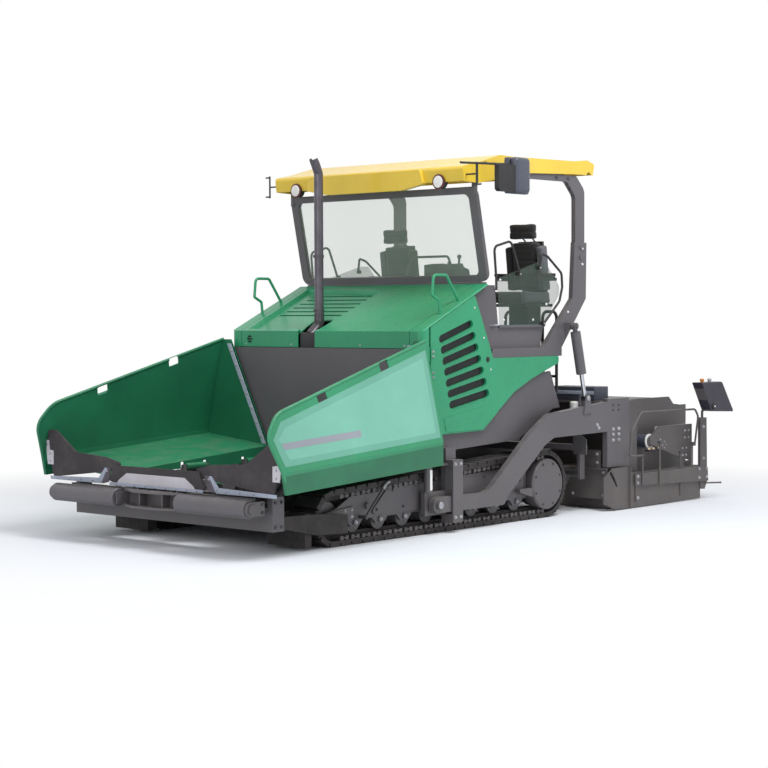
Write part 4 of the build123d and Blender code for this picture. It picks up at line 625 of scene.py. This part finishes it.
def add_world(strength):
    """Even studio light, with a pale backdrop where the camera, gloss or glass sees the world."""
    world = bpy.data.worlds.new("studio")
    world.use_nodes = True
    tree = world.node_tree
    tree.nodes.clear()
    rays = tree.nodes.new("ShaderNodeLightPath")
    seen = rays.outputs["Is Camera Ray"]
    for name in ("Is Glossy Ray", "Is Transmission Ray"):
        node = tree.nodes.new("ShaderNodeMath")
        node.operation = "MAXIMUM"
        tree.links.new(seen, node.inputs[0])
        tree.links.new(rays.outputs[name], node.inputs[1])
        seen = node.outputs[0]
    level = tree.nodes.new("ShaderNodeMapRange")
    level.inputs["To Min"].default_value = strength
    level.inputs["To Max"].default_value = BACKDROP_LEVEL
    tree.links.new(seen, level.inputs["Value"])
    back = tree.nodes.new("ShaderNodeBackground")
    back.inputs["Color"].default_value = BACKDROP_COLOR
    tree.links.new(level.outputs["Result"], back.inputs["Strength"])
    out = tree.nodes.new("ShaderNodeOutputWorld")
    tree.links.new(back.outputs[0], out.inputs["Surface"])
    bpy.context.scene.world = world


def add_floor():
    """A pale floor that keeps the machine's shadow and turns into the backdrop far away."""
    mesh = bpy.data.meshes.new("floor")
    corners = rectangle(-FLOOR_SIZE, FLOOR_SIZE, -FLOOR_SIZE, FLOOR_SIZE)
    mesh.from_pydata([(x, y, 0) for x, y in corners], [], [range(4)])
    floor = new_object("floor", mesh)
    n = Nodes("pale floor")
    n.give("Base Color", n.mix(n.span(n.noise(0.6, 5), 0.3, 0.7), *map(linear, FLOOR_COLORS)))
    n.give("Roughness", 0.9)
    length = n.add("VectorMath")
    length.operation = "LENGTH"
    n.feed(length.inputs[0], n.place)
    away = n.span(length.outputs["Value"], *FLOOR_FADE)
    shown = n.times(away, n.add("LightPath").outputs["Is Camera Ray"])
    glow = n.add("Emission", Color=BACKDROP_COLOR, Strength=BACKDROP_LEVEL)
    join = n.add("MixShader")
    for socket, value in zip(join.inputs, (shown, n.shader.outputs[0], glow.outputs[0])):
        n.feed(socket, value)
    out = next(node for node in n.tree.nodes if node.bl_idname == "ShaderNodeOutputMaterial")
    n.feed(out.inputs["Surface"], join.outputs[0])
    mesh.materials.append(n.material)


add_camera()
add_world(WORLD_LEVEL)
add_lamp("key", *KEY_LAMP)
add_lamp("front_fill", *FRONT_FILL)
add_floor()
bpy.context.scene.view_settings.view_transform = "Standard"


# Soft seats


def soft_block(name, corners, swell, look):
    """A padded block from 8 corners, blown up by a cloth simulation, then smoothed."""
    bm = bmesh.new()
    points = [bm.verts.new(Vector(c)) for c in corners]
    for face in ((3, 2, 1, 0), (4, 5, 6, 7), (0, 1, 5, 4), (1, 2, 6, 5), (2, 3, 7, 6), (3, 0, 4, 7)):
        bm.faces.new([points[i] for i in face])
    bmesh.ops.recalc_face_normals(bm, faces=bm.faces)
    bmesh.ops.bevel(bm, geom=bm.edges[:], offset=PAD_EDGE, segments=3, affect="EDGES", profile=0.5)
    mesh = bpy.data.meshes.new(name)
    bm.to_mesh(mesh)
    bm.free()
    piece = new_object(name, mesh)
    remesh = piece.modifiers.new("even", "REMESH")
    remesh.mode = "VOXEL"
    remesh.voxel_size = PAD_VOXEL
    apply_modifiers(piece)
    blow_up(piece, swell)
    divide = piece.modifiers.new("smooth", "SUBSURF")
    divide.levels = 1
    divide.render_levels = 1
    apply_modifiers(piece)
    piece.data.shade_smooth()
    piece.data.materials.clear()
    piece.data.materials.append(LOOKS[look])
    return piece


def apply_modifiers(piece):
    """Keep what the piece's modifiers make, and take them off."""
    made = evaluated_mesh(piece)
    piece.modifiers.clear()
    piece.data = made


def blow_up(piece, swell):
    """Fill a closed form with air by a cloth simulation, no point moving more than swell."""
    start = [v.co.copy() for v in piece.data.vertices]
    blown = piece.modifiers.new("air", "CLOTH")
    blown.settings.use_pressure = True
    blown.settings.uniform_pressure_force = PAD_PRESSURE
    blown.settings.effector_weights.gravity = 0
    scene = bpy.context.scene
    for number in range(1, PAD_STEPS + 1):
        scene.frame_set(number)
    apply_modifiers(piece)
    scene.frame_set(1)
    for vertex, before in zip(piece.data.vertices, start):
        move = vertex.co - before
        if move.length > swell:
            vertex.co = before + move.normalized() * swell


def sew(piece, axis, places, width=0.012, depth=0.006):
    """Press sewn channels into a padded piece, across one axis at the given places."""
    normals = [v.normal.copy() for v in piece.data.vertices]
    for vertex, normal in zip(piece.data.vertices, normals):
        for place in places:
            gap = abs(vertex.co[axis] - place)
            if gap < width:
                vertex.co -= normal * depth * (0.5 + 0.5 * math.cos(math.pi * gap / width))


def slab(profile, y0, y1):
    """The 8 corners of a block from its (x, z) outline of 4 points and its span in Y."""
    return [(x, y0, z) for x, z in profile] + [(x, y1, z) for x, z in profile]


# Outlines of the pads in (x, z), and the bolsters' edges from the seat's middle
BASE_PAD = ((-1.05, 2.168), (-0.612, 2.168), (-0.612, 2.278), (-1.03, 2.262))
BACK_PAD = ((-1.05, 2.298), (-0.935, 2.298), (-0.87, 2.79), (-0.982, 2.79))
HEAD_PAD = ((-0.922, 2.824), (-0.846, 2.824), (-0.841, 2.972), (-0.912, 2.972))
BASE_BOLSTER = ((-1.045, 2.168), (-0.616, 2.168), (-0.62, 2.288), (-1.03, 2.282))
BACK_BOLSTER = ((-1.05, 2.298), (-0.915, 2.298), (-0.868, 2.74), (-0.985, 2.76))
BOLSTER_SPAN = (0.166, 0.232)


def add_seat(side, sign):
    """Padded seat, back and headrest with side bolsters, in the space of the CAD cushion."""
    middle = sign * SEAT_Y
    # Name, outline, half width, seams and the axis that the seams cross
    rows = (
        ("seat_base", BASE_PAD, 0.16, (-0.9, -0.76), 0),
        ("seat_back", BACK_PAD, 0.158, (2.45, 2.6), 2),
        ("headrest", HEAD_PAD, 0.156, (2.895,), 2),
    )
    made = []
    for name, outline, half, seams, axis in rows:
        piece = soft_block(f"{name}_{side}", slab(outline, middle - half, middle + half), PAD_SWELL, "cloth")
        sew(piece, axis, seams)
        made.append(piece)
    for edge in (-1, 1):
        y0, y1 = sorted(middle + edge * reach for reach in BOLSTER_SPAN)
        tag = "in" if edge == -sign else "out"
        look = "bolster" if tag == "out" else "cloth"
        for part, outline in (("seat", BASE_BOLSTER), ("back", BACK_BOLSTER)):
            block = slab(outline, y0, y1)
            made.append(soft_block(f"{part}_bolster_{tag}_{side}", block, BOLSTER_SWELL, look))
    for piece in made:
        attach(piece, "tractor")
    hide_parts(f"seat_cushion_{side}")


both_sides(add_seat)


# Hopper trim


def wing_point(x, z, sign, out):
    """A point at a distance out from the outer face of a wing's leaning wall."""
    return (x, sign * (WALL_FOOT[0] - WALL_LEAN * (z - WALL_FOOT[1]) + out), z)


# Layers of a wing's side: name, finish, height over the wall, thickness, eased edge and (x, z) outline
WING_LAYERS = (
    ("field", "field_green", 0.0, 0.0012, 0.0004,
     ((1.27, 0.93), (3.33, 0.79), (3.42, 1.02), (3.30, 1.165), (1.27, 1.73))),
    ("pale", "pale_green", 0.0012, 0.001, 0.0003,
     ((1.33, 0.975), (3.27, 0.845), (3.36, 1.02), (3.26, 1.115), (1.33, 1.655))),
    ("band", "band", 0.0023, 0.001, 0.0003,
     ((2.335, 0.993), (3.31, 0.932), (3.335, 0.985), (2.338, 1.05))),
)


def add_wing_trim(side, sign):
    """Pale side field with its border, a grey band and a bolted light strip."""
    body = f"wing_{side}"
    lean = Vector((0, sign, WALL_LEAN)).normalized()
    for name, look, height, thickness, edge, outline in WING_LAYERS:
        points = [wing_point(x, z, sign, height) for x, z in outline]
        plate(f"wing_{name}_{side}", points, thickness, lean, look, body, edge)
    strip = ((1.235, 1.77), (1.185, 1.77), (0.69, 0.775), (0.74, 0.775))
    points = [(STRIP_FACE - STRIP_THICK, sign * y, z) for y, z in strip]
    plate(f"wing_strip_{side}", points, STRIP_THICK, AHEAD, "blue_grey", body, 0.002)
    places = []
    for index in range(STRIP_BOLTS):
        share = (index + 0.5) / STRIP_BOLTS
        y, z = (top + (foot - top) * share for top, foot in zip(STRIP_TOP, STRIP_FOOT))
        places.append((STRIP_FACE, sign * y, z))
    bolts(f"wing_strip_bolts_{side}", places, AHEAD, body, 0.011)


def add_flap_trim(side, sign):
    """Clamp strips, notched corner plate and bolts on a wing's rubber apron."""
    body = f"wing_{side}"
    clamp = [(0.80, 0.572), (1.50, 0.553), (1.50, 0.522), (0.76, 0.522)]
    brace = [(0.675, 0.668), (0.71, 0.668), (0.80, 0.572), (0.76, 0.53)]
    gusset = [(0.625, 0.672), (0.675, 0.668), (0.76, 0.53), (0.74, 0.522), (0.66, 0.54)]
    foot = [(1.455, 0.79), (1.512, 0.80), (1.557, 0.785), (1.54, 0.66), (1.455, 0.66)]
    top = [(1.512, 0.80), (1.522, 0.888), (1.553, 0.888), (1.557, 0.785)]
    rows = (("clamp", "blue_grey", clamp, brace), ("gusset", "stack", gusset), ("corner", "plate", foot, top))
    for name, look, *rings in rows:
        outlines = [[(FLAP_FACE, sign * y, z) for y, z in ring] for ring in rings]
        plates(f"flap_{name}_{side}", outlines, FLAP_TRIM, AHEAD, look, body, 0.0012)
    spots = [(0.8 + 0.68 * share, 0.549 - 0.012 * share) for share in (0.125, 0.375, 0.625, 0.875)]
    spots += [(1.5, 0.69), (1.5, 0.76), (1.535, 0.85), (0.68, 0.64)]
    places = [(FLAP_FACE + FLAP_TRIM, sign * y, z) for y, z in spots]
    bolts(f"flap_bolts_{side}", places, AHEAD, body, 0.008)


def add_centre_flap_trim():
    """Pale plate with its bolts on the rubber apron between the wings."""
    ring = ((0.515, 0.545), (0.5, 0.568), (0.385, 0.638), (-0.385, 0.638), (-0.5, 0.568), (-0.515, 0.545))
    points = [(CENTRE_FLAP_FACE, y, z) for y, z in ring]
    plate("centre_plate", points, 0.006, AHEAD, "plate", "tractor", 0.002)
    points = [(CENTRE_FLAP_FACE, y, z) for y, z in rectangle(0.62, -0.62, 0.545, 0.518)]
    plate("centre_strip", points, 0.009, AHEAD, "blue_grey", "tractor", 0.002)
    places = [(CENTRE_FLAP_FACE + 0.009, -0.55 + 0.1375 * index, 0.531) for index in range(9)]
    bolts("centre_plate_bolts", places, AHEAD, "tractor", 0.008)


def add_push_beam_trim():
    """Bolts on the push beam's bow plates and cheeks."""
    places = [(3.375, y, 0.505) for y in (-0.3, -0.22, 0.22, 0.3)]
    bolts("push_beam_bolts", places, UP, "push_beam", 0.013, "dark_bolt")
    for side, sign in SIDES:
        cheek = ((3.325, 0.39), (3.325, 0.46))
        side_bolts(f"cheek_bolts_{side}", sign * 1.309, cheek, "push_beam", look="dark_bolt")
        ends = product((3.09, 3.165), (0.25, 0.46))
        side_bolts(f"front_beam_bolts_{side}", sign * 1.304, ends, "tractor", look="dark_bolt")


both_sides(add_wing_trim, add_flap_trim)
add_centre_flap_trim()
add_push_beam_trim()


# Engine housing trim


def hood_point(x, y, depth=0.0):
    """A point below the hood's slope, depth measured square to it."""
    normal = Vector((HOOD_SLOPE, 0, 1)).normalized()
    return Vector((x, y, HOOD_FRONT_Z + (HOOD_FRONT_X - x) * HOOD_SLOPE)) - normal * depth


def add_hood_trim():
    """Dark backing under the hood's louvres and vent, and its corner bolts."""
    ring = [(0.86, -1.02), (0.36, -0.95), (0.375, -0.05), (0.85, -0.07)]
    points = [hood_point(x, y, HOOD_PAN_DEPTH + 0.0003) for x, y in ring]
    plate("louvre_backing", points, 0.002, (-HOOD_SLOPE, 0, -1), "mesh", "hood", 0.0004)
    vent = [(0.044, 0), (0.044, 0.0115)]
    round_piece("vent_backing", (1.176, -1.006, 1.816), AHEAD, vent, 32, "mesh", "hood")
    places = [(HOOD_FRONT_X, y, 1.765) for y in (-1.06, -0.42, 0.5, 1.06)]
    bolts("hood_bolts", places, AHEAD, "hood", 0.007)


# Louvre slots of a door: front x and z, back x and z of each slot's middle line
DOOR_SLOTS = (
    (0.934, 1.814, 0.430, 1.974),
    (0.909, 1.711, 0.388, 1.861),
    (0.885, 1.607, 0.346, 1.749),
    (0.860, 1.504, 0.305, 1.636),
    (0.836, 1.400, 0.263, 1.523),
    (0.811, 1.297, 0.222, 1.411),
    (0.786, 1.193, 0.180, 1.298),
)
SLOT_WIDTH = 0.078
LIP_DEPTH = 0.011


def add_door_trim(side, sign):
    """Mesh behind the door's slots, their lower lips, a raised foot panel, bolts and a latch."""
    body = f"door_{side}"
    face = sign * DOOR_FACE
    out = (0, sign, 0)
    mesh = ((0.985, 1.12), (0.985, 1.88), (0.42, 2.06), (0.125, 1.25), (0.16, 1.2))
    side_plate(f"door_mesh_{side}", sign * (DOOR_BACK - 0.0023), mesh, 0.002, "mesh", body, 0.0004)
    bm = bmesh.new()
    for front_x, front_z, back_x, back_z in DOOR_SLOTS:
        along = Vector((front_x - back_x, 0, front_z - back_z))
        down = Vector((along.z, 0, -along.x)).normalized()
        reach = along.normalized() * SLOT_WIDTH / 2
        start = Vector((back_x, 0, back_z)) + reach + down * SLOT_WIDTH / 2
        end = Vector((front_x, 0, front_z)) - reach + down * SLOT_WIDTH / 2
        lip = [start, end, end + down * LIP_DEPTH, start + down * LIP_DEPTH]
        add_plate(bm, [(p.x, face, p.z) for p in lip], 0.0035, out, 0.002)
    from_bmesh(f"door_lips_{side}", bm, "green", body)
    foot = ((0.87, 1.075), (0.838, 0.94), (0.285, 0.945), (0.105, 1.122), (0.137, 1.185))
    side_plate(f"door_foot_{side}", face, foot, 0.006, "green", body, 0.0035)
    hinges = [(1.03, z + step) for z in DOOR_HINGE_ROWS for step in (-0.022, 0.022)]
    side_bolts(f"door_hinge_bolts_{side}", sign * (DOOR_FACE + 0.006), hinges, body, 0.009)
    edge = ((0.4, 2.12), (0.26, 1.83), (0.155, 1.52))
    side_bolts(f"door_edge_bolts_{side}", face, edge, body, 0.006, "white")
    bm = bmesh.new()
    add_ring(bm, (0.2, face, 1.62), out, [(0.026, 0), (0.026, 0.004), (0.022, 0.006)], 24)
    add_ring(bm, (0.2, sign * (DOOR_FACE + 0.005), 1.62), out, [(0.012, 0), (0.012, 0.006)], 16)
    from_bmesh(f"door_latch_{side}", bm, "black", body)


def add_stack_trim():
    """Clamp bands, foot and elbow of the exhaust stack."""
    x, y = STACK
    bm = bmesh.new()
    for z in (2.085, 2.62):
        add_ring(bm, (x, y, z), UP, [(STACK_RADIUS, 0), (STACK_RADIUS, STACK_CLAMP)], 40)
        lug = rectangle(x - 0.012, x + 0.012, z, z + STACK_CLAMP)
        add_plate(bm, [(px, y - 0.05, pz) for px, pz in lug], 0.02, (0, -1, 0))
    from_bmesh("stack_clamps", bm, "dark_bolt", "tractor")
    rounded_box("stack_foot", (1.08, -0.322, 1.7), (1.184, -0.111, 1.884), 0.01, "black", "tractor")
    elbow = [(x, y, 2.07), (x, y, 1.96), (1.14, -0.215, 1.86)]
    tube("stack_elbow", elbow, STACK_RADIUS, "black", "tractor")


add_hood_trim()
add_stack_trim()
both_sides(add_door_trim)


# Operator's stand trim


def add_lamp_trim(side, sign):
    """White lamp face in its dark red rim."""
    y, z = LAMP_PLACE
    rim = [(0.0735, 0), (0.0735, 0.006), (0.062, 0.009)]
    round_piece(f"lamp_rim_{side}", (0.571, sign * y, z), AHEAD, rim, 48, "lamp_rim", "tractor")
    dome = [(0.0585, 0), (0.0585, 0.002), (0.05, 0.006), (0.03, 0.009), (0.006, 0.0105)]
    round_piece(f"lamp_face_{side}", (0.5795, sign * y, z), AHEAD, dome, 48, "lamp", "tractor")


def add_stand_trim(side, sign):
    """Box lip, arm rest pads and the bolts of posts, rails and panes on one side."""
    points = [(x, sign * y, 1.9432) for x, y in rectangle(0.112, -0.788, 1.19, 1.18)]
    plate(f"box_lip_{side}", points, 0.008, UP, "blue_grey", "tractor", 0.002)
    for edge in (-1, 1):
        middle = sign * SEAT_Y + edge * ARM_REACH
        name = f"arm_pad_{'in' if edge == -sign else 'out'}_{side}"
        low, high = (-1.07, middle - 0.024, 2.441), (-0.752, middle + 0.024, 2.472)
        rounded_box(name, low, high, 0.012, "black", "tractor")
    posts = product((-1.15, -0.95, 0.25, 0.36), (3.437,))
    side_bolts(f"post_bolts_{side}", sign * POST_FACE, posts, "tractor", look="dark_bolt")
    rails = ((-0.35, 2.455), (-0.68, 2.52), (-0.745, 1.96))
    side_bolts(f"rail_bolts_{side}", sign * POST_FACE, rails, "tractor", 0.008)
    pane = ((-0.065, 2.393), (-0.123, 2.0), (-0.822, 2.156), (-0.6, 2.0))
    seat = ((-1.399, 2.727), (-1.399, 2.567), (-1.148, 2.076))
    places = [(x, sign * PANE_FACE, z) for x, z in pane] + [(x, sign * POST_FACE, z) for x, z in seat]
    bolts(f"pane_bolts_{side}", places, (0, sign, 0), "tractor", 0.009, "white")


def add_mirror_trim():
    """Slate blue covers on the mirror's housing and the mirror's two glasses, which look back."""
    rounded_box("mirror_cover", (-0.147, 1.4365, 3.2165), (0.17, 1.5045, 3.5635), 0.016, "slate", "tractor")
    rounded_box("mirror_back", (-0.078, 1.47, 3.2165), (0.15, 1.577, 3.5635), 0.036, "slate", "tractor", 6)
    rows = ((-0.147, 1.455, 1.492), (-0.078, 1.512, 1.56))
    glasses = [[(x, y, z) for y, z in rectangle(y0, y1, 3.25, 3.52)] for x, y0, y1 in rows]
    plates("mirror_glass", glasses, 0.002, (-1, 0, 0), "chrome", "tractor", 0.0005)


def add_console_trim():
    """Blank display, push buttons, a knob and the joystick's boot on the control desk."""
    points = [(x, y, 2.5505 + (0.11 - x) * 0.1429) for x, y in rectangle(0.098, 0.046, 0.43, 0.6)]
    plate("desk_display", points, 0.004, UP, "mesh", "tractor", 0.001)
    bm = bmesh.new()
    for row in range(2):
        for column in range(6):
            x, y = -0.005 - 0.03 * row, 0.42 + 0.05 * column
            place = (x, y, 2.525 - (0.02 - x) * 0.3125)
            add_ring(bm, place, (-0.29, 0, 1), [(0.009, -0.002), (0.009, 0.006), (0.007, 0.008)], 14)
    from_bmesh("desk_buttons", bm, "plate", "tractor")
    bm = bmesh.new()
    boot = [(0.034, 0), (0.026, 0.012), (0.03, 0.02), (0.018, 0.034)]
    add_ring(bm, (-0.02, 0.72, 2.508), UP, boot, 24)
    add_ring(bm, (0.075, 0.68, 2.553), UP, [(0.02, 0), (0.02, 0.02), (0.014, 0.026)], 20)
    from_bmesh("desk_boot", bm, "mesh", "tractor")


both_sides(add_lamp_trim, add_stand_trim)
add_mirror_trim()
add_console_trim()


# Running gear and tow arm trim


def add_track_trim(side, sign):
    """Bolts of the roller caps, covers and drive on one side."""
    covers = ((1.03, 0.28), (1.03, 0.45), (1.55, 0.45), (1.77, 0.285), (1.4, 0.285),
              (0.65, 0.29), (0.65, 0.46), (0.2, 0.48), (-0.2, 0.5), (-0.37, 0.4))
    side_bolts(f"cover_bolts_{side}", sign * (TRACK_MIDDLE + 0.116), covers, "tractor", 0.011, "dark_bolt")
    rollers = [(-0.33 + 0.34 * index, 0.1923) for index in range(8)]
    side_bolts(f"roller_bolts_{side}", sign * (TRACK_MIDDLE + 0.114), rollers, "tractor", 0.013)
    yoke = ((2.11, 0.25), (2.2, 0.25), (2.11, 0.31), (2.2, 0.31))
    side_bolts(f"yoke_bolts_{side}", sign * (TRACK_MIDDLE + 0.118), yoke, "tractor", 0.01)
    x, z = DRIVE_CENTRE
    angles = [math.radians(22.5 + 45 * index) for index in range(8)]
    drive = [(x + DRIVE_BOLT_RADIUS * math.cos(a), z + DRIVE_BOLT_RADIUS * math.sin(a)) for a in angles]
    side_bolts(f"drive_bolts_{side}", sign * 1.281, drive, "tractor", 0.009, "dark_bolt")


# A link end's outline as (distance along the run, height over it)
LINK_OUTLINE = (
    (0, 0), (0, 0.036), (0.04, 0.036), (0.04, 0.024), (0.07, 0.024), (0.07, 0.036),
    (0.11, 0.036), (0.11, 0), (0.07, 0), (0.07, 0.012), (0.04, 0.012), (0.04, 0),
)


def add_track_links(side, sign):
    """Raised link ends on the inside of the shoes along the two straight runs of a track."""
    links = []
    y = sign * (TRACK_MIDDLE + 0.117)
    for rear_z, front_z in ((0.0535, 0.0535), (0.594, 0.42)):
        slope = (front_z - rear_z) / (IDLER_X - SPROCKET_X)
        for index in range(LINK_COUNT):
            x = SPROCKET_X + 0.03 + LINK_PITCH * index
            z = rear_z + slope * (x - SPROCKET_X)
            links.append([(x + along, y, z + slope * along + up) for along, up in LINK_OUTLINE])
    plates(f"track_links_{side}", links, 0.028, (0, sign, 0), "links", "tractor", 0.0004)


def add_prop_lever(side, sign):
    """Stowed prop lever on its pin outside the track, with a bright upper end."""
    y = sign * 1.27
    tube(f"prop_lever_{side}", [(1.985, y, 0.235), (1.745, y, 0.478)], 0.012, "dark_bolt", "tractor")
    end = [(1.748, y, 0.475), (1.69, y, 0.53), (1.66, y, 0.535)]
    tube(f"prop_lever_end_{side}", end, 0.014, "bolt", "tractor", 0.03)
    pin = [(1.985, sign * reach, 0.235) for reach in (1.1975, 1.29)]
    tube(f"prop_pin_{side}", pin, 0.018, "dark_bolt", "tractor")


def add_levelling_trim(side, sign):
    """Blank white scale, bright pin end and bolts at the tow point."""
    scale = rectangle(1.134, 1.166, 0.42, 0.61)
    side_plate(f"level_scale_{side}", sign * 1.3385, scale, 0.004, "white", "tractor", 0.001)
    pin = [(0.033, 0), (0.033, 0.006), (0.027, 0.011)]
    round_piece(f"tow_pin_end_{side}", (1.09, sign * 1.41, 0.28), (0, sign, 0), pin, 28, "bolt", "tractor")
    side_bolts(f"guide_bolts_{side}", sign * 1.402, product((0.79, 0.87), (0.15, 0.65)), "tractor")


def add_tow_arm_trim(side, sign):
    """Dark discs as painted shade for the holes of the tow arm's rear plate, its bolts, and a bright pin at the
    lift cylinder.
    """
    face = sign * TOW_ARM_FACE
    # Thin dark discs on the plate's face: painted shade where holes would be, with no opening cut.
    bm = bmesh.new()
    for x, z in product(TOW_PLATE_ROWS, (1.05, 1.101)):
        add_ring(bm, (x, face, z), (0, sign, 0), [(0.012, 0), (0.012, 0.001)], 20)
    from_bmesh(f"tow_plate_hole_shade_{side}", bm, "mesh", "screed")
    spots = [*product(TOW_PLATE_ROWS, (0.736, 0.794, 0.851)), (-1.462, 0.908), (-1.492, 0.876)]
    side_bolts(f"tow_plate_bolts_{side}", face, spots, "screed", 0.0145)
    pin = [(0.026, 0), (0.026, 0.008), (0.021, 0.012)]
    round_piece(f"lift_pin_end_{side}", (-1.29, sign * 1.394, 1.19), (0, sign, 0), pin, 28, "bolt", "screed")


both_sides(add_track_trim, add_track_links, add_prop_lever, add_levelling_trim, add_tow_arm_trim)


# Screed trim


def add_screed_trim(side, sign):
    """Dark blue cover with a pale edge on the step box, shield bolts and a white filter can."""
    low, high = (-2.0525, sign * 0.5505, 1.1335), (-1.7975, sign * 1.1125, 1.2825)
    rounded_box(f"step_cover_{side}", low, high, 0.01, "dark_blue", "screed")
    low, high = (-1.7995, sign * 0.56, 1.2), (-1.792, sign * 1.103, 1.238)
    rounded_box(f"step_edge_{side}", low, high, 0.003, "blue_grey", "screed")
    spots = [*product((0.94, 1.33), (0.16, 0.4)), *product((1.02, 1.25), (0.5, 0.59))]
    bolts(f"shield_bolts_{side}", [(-1.65, sign * y, z) for y, z in spots], AHEAD, "screed")
    can = [(0.038, 0), (0.044, 0.006), (0.044, 0.1), (0.036, 0.112)]
    round_piece(f"filter_can_{side}", (-1.746, sign * 0.885, 1.014), UP, can, 32, "white", "screed")


def add_gate_trim(side, sign):
    """Bolts, guide tube sleeve and ring, clamp and nuts, ribbed strip, walkway sides and spindle tops."""
    body = f"extension_{side}"
    out = (0, sign, 0)
    places = [(-2.085, sign * GATE_BAR_FACE, z) for z in (0.11, 0.266, 0.335)]
    places += [(x, sign * (GATE_BAR_FACE + 0.0005), z) for x in (-3.292, -3.447) for z in (0.24, 0.336)]
    places += [(-3.4, sign * (GATE_BAR_FACE - 0.014), z) for z in (0.45, 0.8)]
    bolts(f"gate_bolts_{side}", places, out, body, 0.013)
    x, z = GUIDE_TUBE
    sleeve = [(GUIDE_RADIUS, 0), (GUIDE_RADIUS, 0.144)]
    round_piece(f"guide_sleeve_{side}", (x, sign * 1.171, z), out, sleeve, 40, "slate", body)
    collar = [(GUIDE_RADIUS, 0), (0.08, 0.003), (0.08, 0.014), (0.06, 0.016)]
    round_piece(f"guide_ring_{side}", (x, sign * 1.314, z), out, collar, 40, "white", body)
    low, high = (-2.67, sign * 1.328, 0.576), (-2.42, sign * 1.385, 0.594)
    rounded_box(f"guide_clamp_{side}", low, high, 0.004, "mesh", body)
    bm = bmesh.new()
    for nut_x in (-2.45, -2.53, -2.642):
        nut = [(0.019, 0), (0.019, 0.013), (0.012, 0.02)]
        add_ring(bm, (nut_x, sign * 1.365, 0.593), UP, nut, 6)
    from_bmesh(f"guide_nuts_{side}", bm, "brass", body)
    bm = bmesh.new()
    block = rectangle(-2.665, -3.318, 0.79, 0.83)
    add_plate(bm, [(px, sign * 1.296, pz) for px, pz in block], 0.03, out)
    for index in range(RIB_COUNT):
        start = -2.68 - 0.03 * index
        rib = rectangle(start, start - 0.014, 0.788, 0.832)
        add_plate(bm, [(px, sign * 1.3255, pz) for px, pz in rib], 0.008, out)
    from_bmesh(f"bracket_strip_{side}", bm, "plate", body)
    walls = (rectangle(-3.368, -3.515, 0.2, 1.036), rectangle(-2.868, -3.37, 0.2, 0.404))
    walls = [[(px, sign * 1.137, pz) for px, pz in wall] for wall in walls]
    plates(f"walk_side_{side}", walls, 0.0125, out, "screed", body)
    spots = [*product((-3.179, -3.252), (0.764, 0.687)), *product((-3.135, -3.206), (0.571, 0.493))]
    side_bolts(f"bracket_bolts_{side}", sign * BRACKET_FACE, spots, body, 0.01)
    screws = ((-2.693, 0.691), (-2.775, 0.664), (-2.737, 0.629), (-2.804, 0.63), (-2.773, 0.597))
    side_bolts(f"bracket_screws_{side}", sign * BRACKET_FACE, screws, body, 0.006)
    spindles = ((-2.164, GATE_RAIL_Y, 0.56, 0.02), (-2.493, GATE_RAIL_Y, 0.68, 0.024),
                (-2.946, GATE_FACE + 0.005, 0.545, 0.02))
    bm = bmesh.new()
    for px, y, pz, radius in spindles:
        top = [(radius, -0.012), (radius, 0.004), (radius * 0.7, 0.01)]
        add_ring(bm, (px, sign * y, pz), UP, top, 12)
    from_bmesh(f"spindle_tops_{side}", bm, "dark_bolt", body)


def add_control_box_trim(side, sign):
    """Moulded shell, blank display, keys and knobs of the screed's control box."""
    body = f"extension_{side}"
    outline = ((-2.872, 1.309), (-3.25, 1.311), (-3.29, 1.299), (-3.517, 0.987), (-3.51, 0.9735),
               (-3.1, 0.992), (-3.062, 1.012))
    side_plate(f"control_shell_{side}", sign * 1.6365, outline, 0.127, "violet", body, 0.006)
    top, foot = Vector((-3.2865, 0, 1.309)), Vector((-3.5245, 0, 0.977))
    along = (foot - top).normalized()
    out = Vector((along.z, 0, -along.x))

    def spot(distance, y):
        point = top + along * distance
        return (point.x, sign * y, point.z)

    ring = [spot(*corner) for corner in rectangle(0.1, 0.23, 1.655, 1.745)]
    plate(f"control_display_{side}", ring, 0.004, out, "mesh", body, 0.001)
    bm = bmesh.new()
    for row in range(3):
        for column in range(3):
            place = spot(0.255 + 0.027 * row, 1.67 + 0.03 * column)
            add_ring(bm, place, out, [(0.008, 0), (0.008, 0.004), (0.006, 0.006)], 12)
    from_bmesh(f"control_keys_{side}", bm, "plate", body)
    knob = [(0.017, 0), (0.017, 0.014), (0.024, 0.018), (0.024, 0.034), (0.016, 0.041)]
    for name, x, look in (("amber_knob", -2.97, "amber"), ("pale_knob", -3.12, "plate")):
        round_piece(f"{name}_{side}", (x, sign * 1.7, 1.3085), UP, knob, 24, look, body)
    cap = [(0.034, 0), (0.034, 0.012), (0.028, 0.018)]
    round_piece(f"side_knob_{side}", (-3.105, sign * 1.763, 1.045), (0, sign, 0), cap, 32, "black", body)
    side_bolts(f"side_knob_cap_{side}", sign * 1.781, ((-3.105, 1.047),), body, 0.0065, "white")


both_sides(add_screed_trim, add_gate_trim, add_control_box_trim)
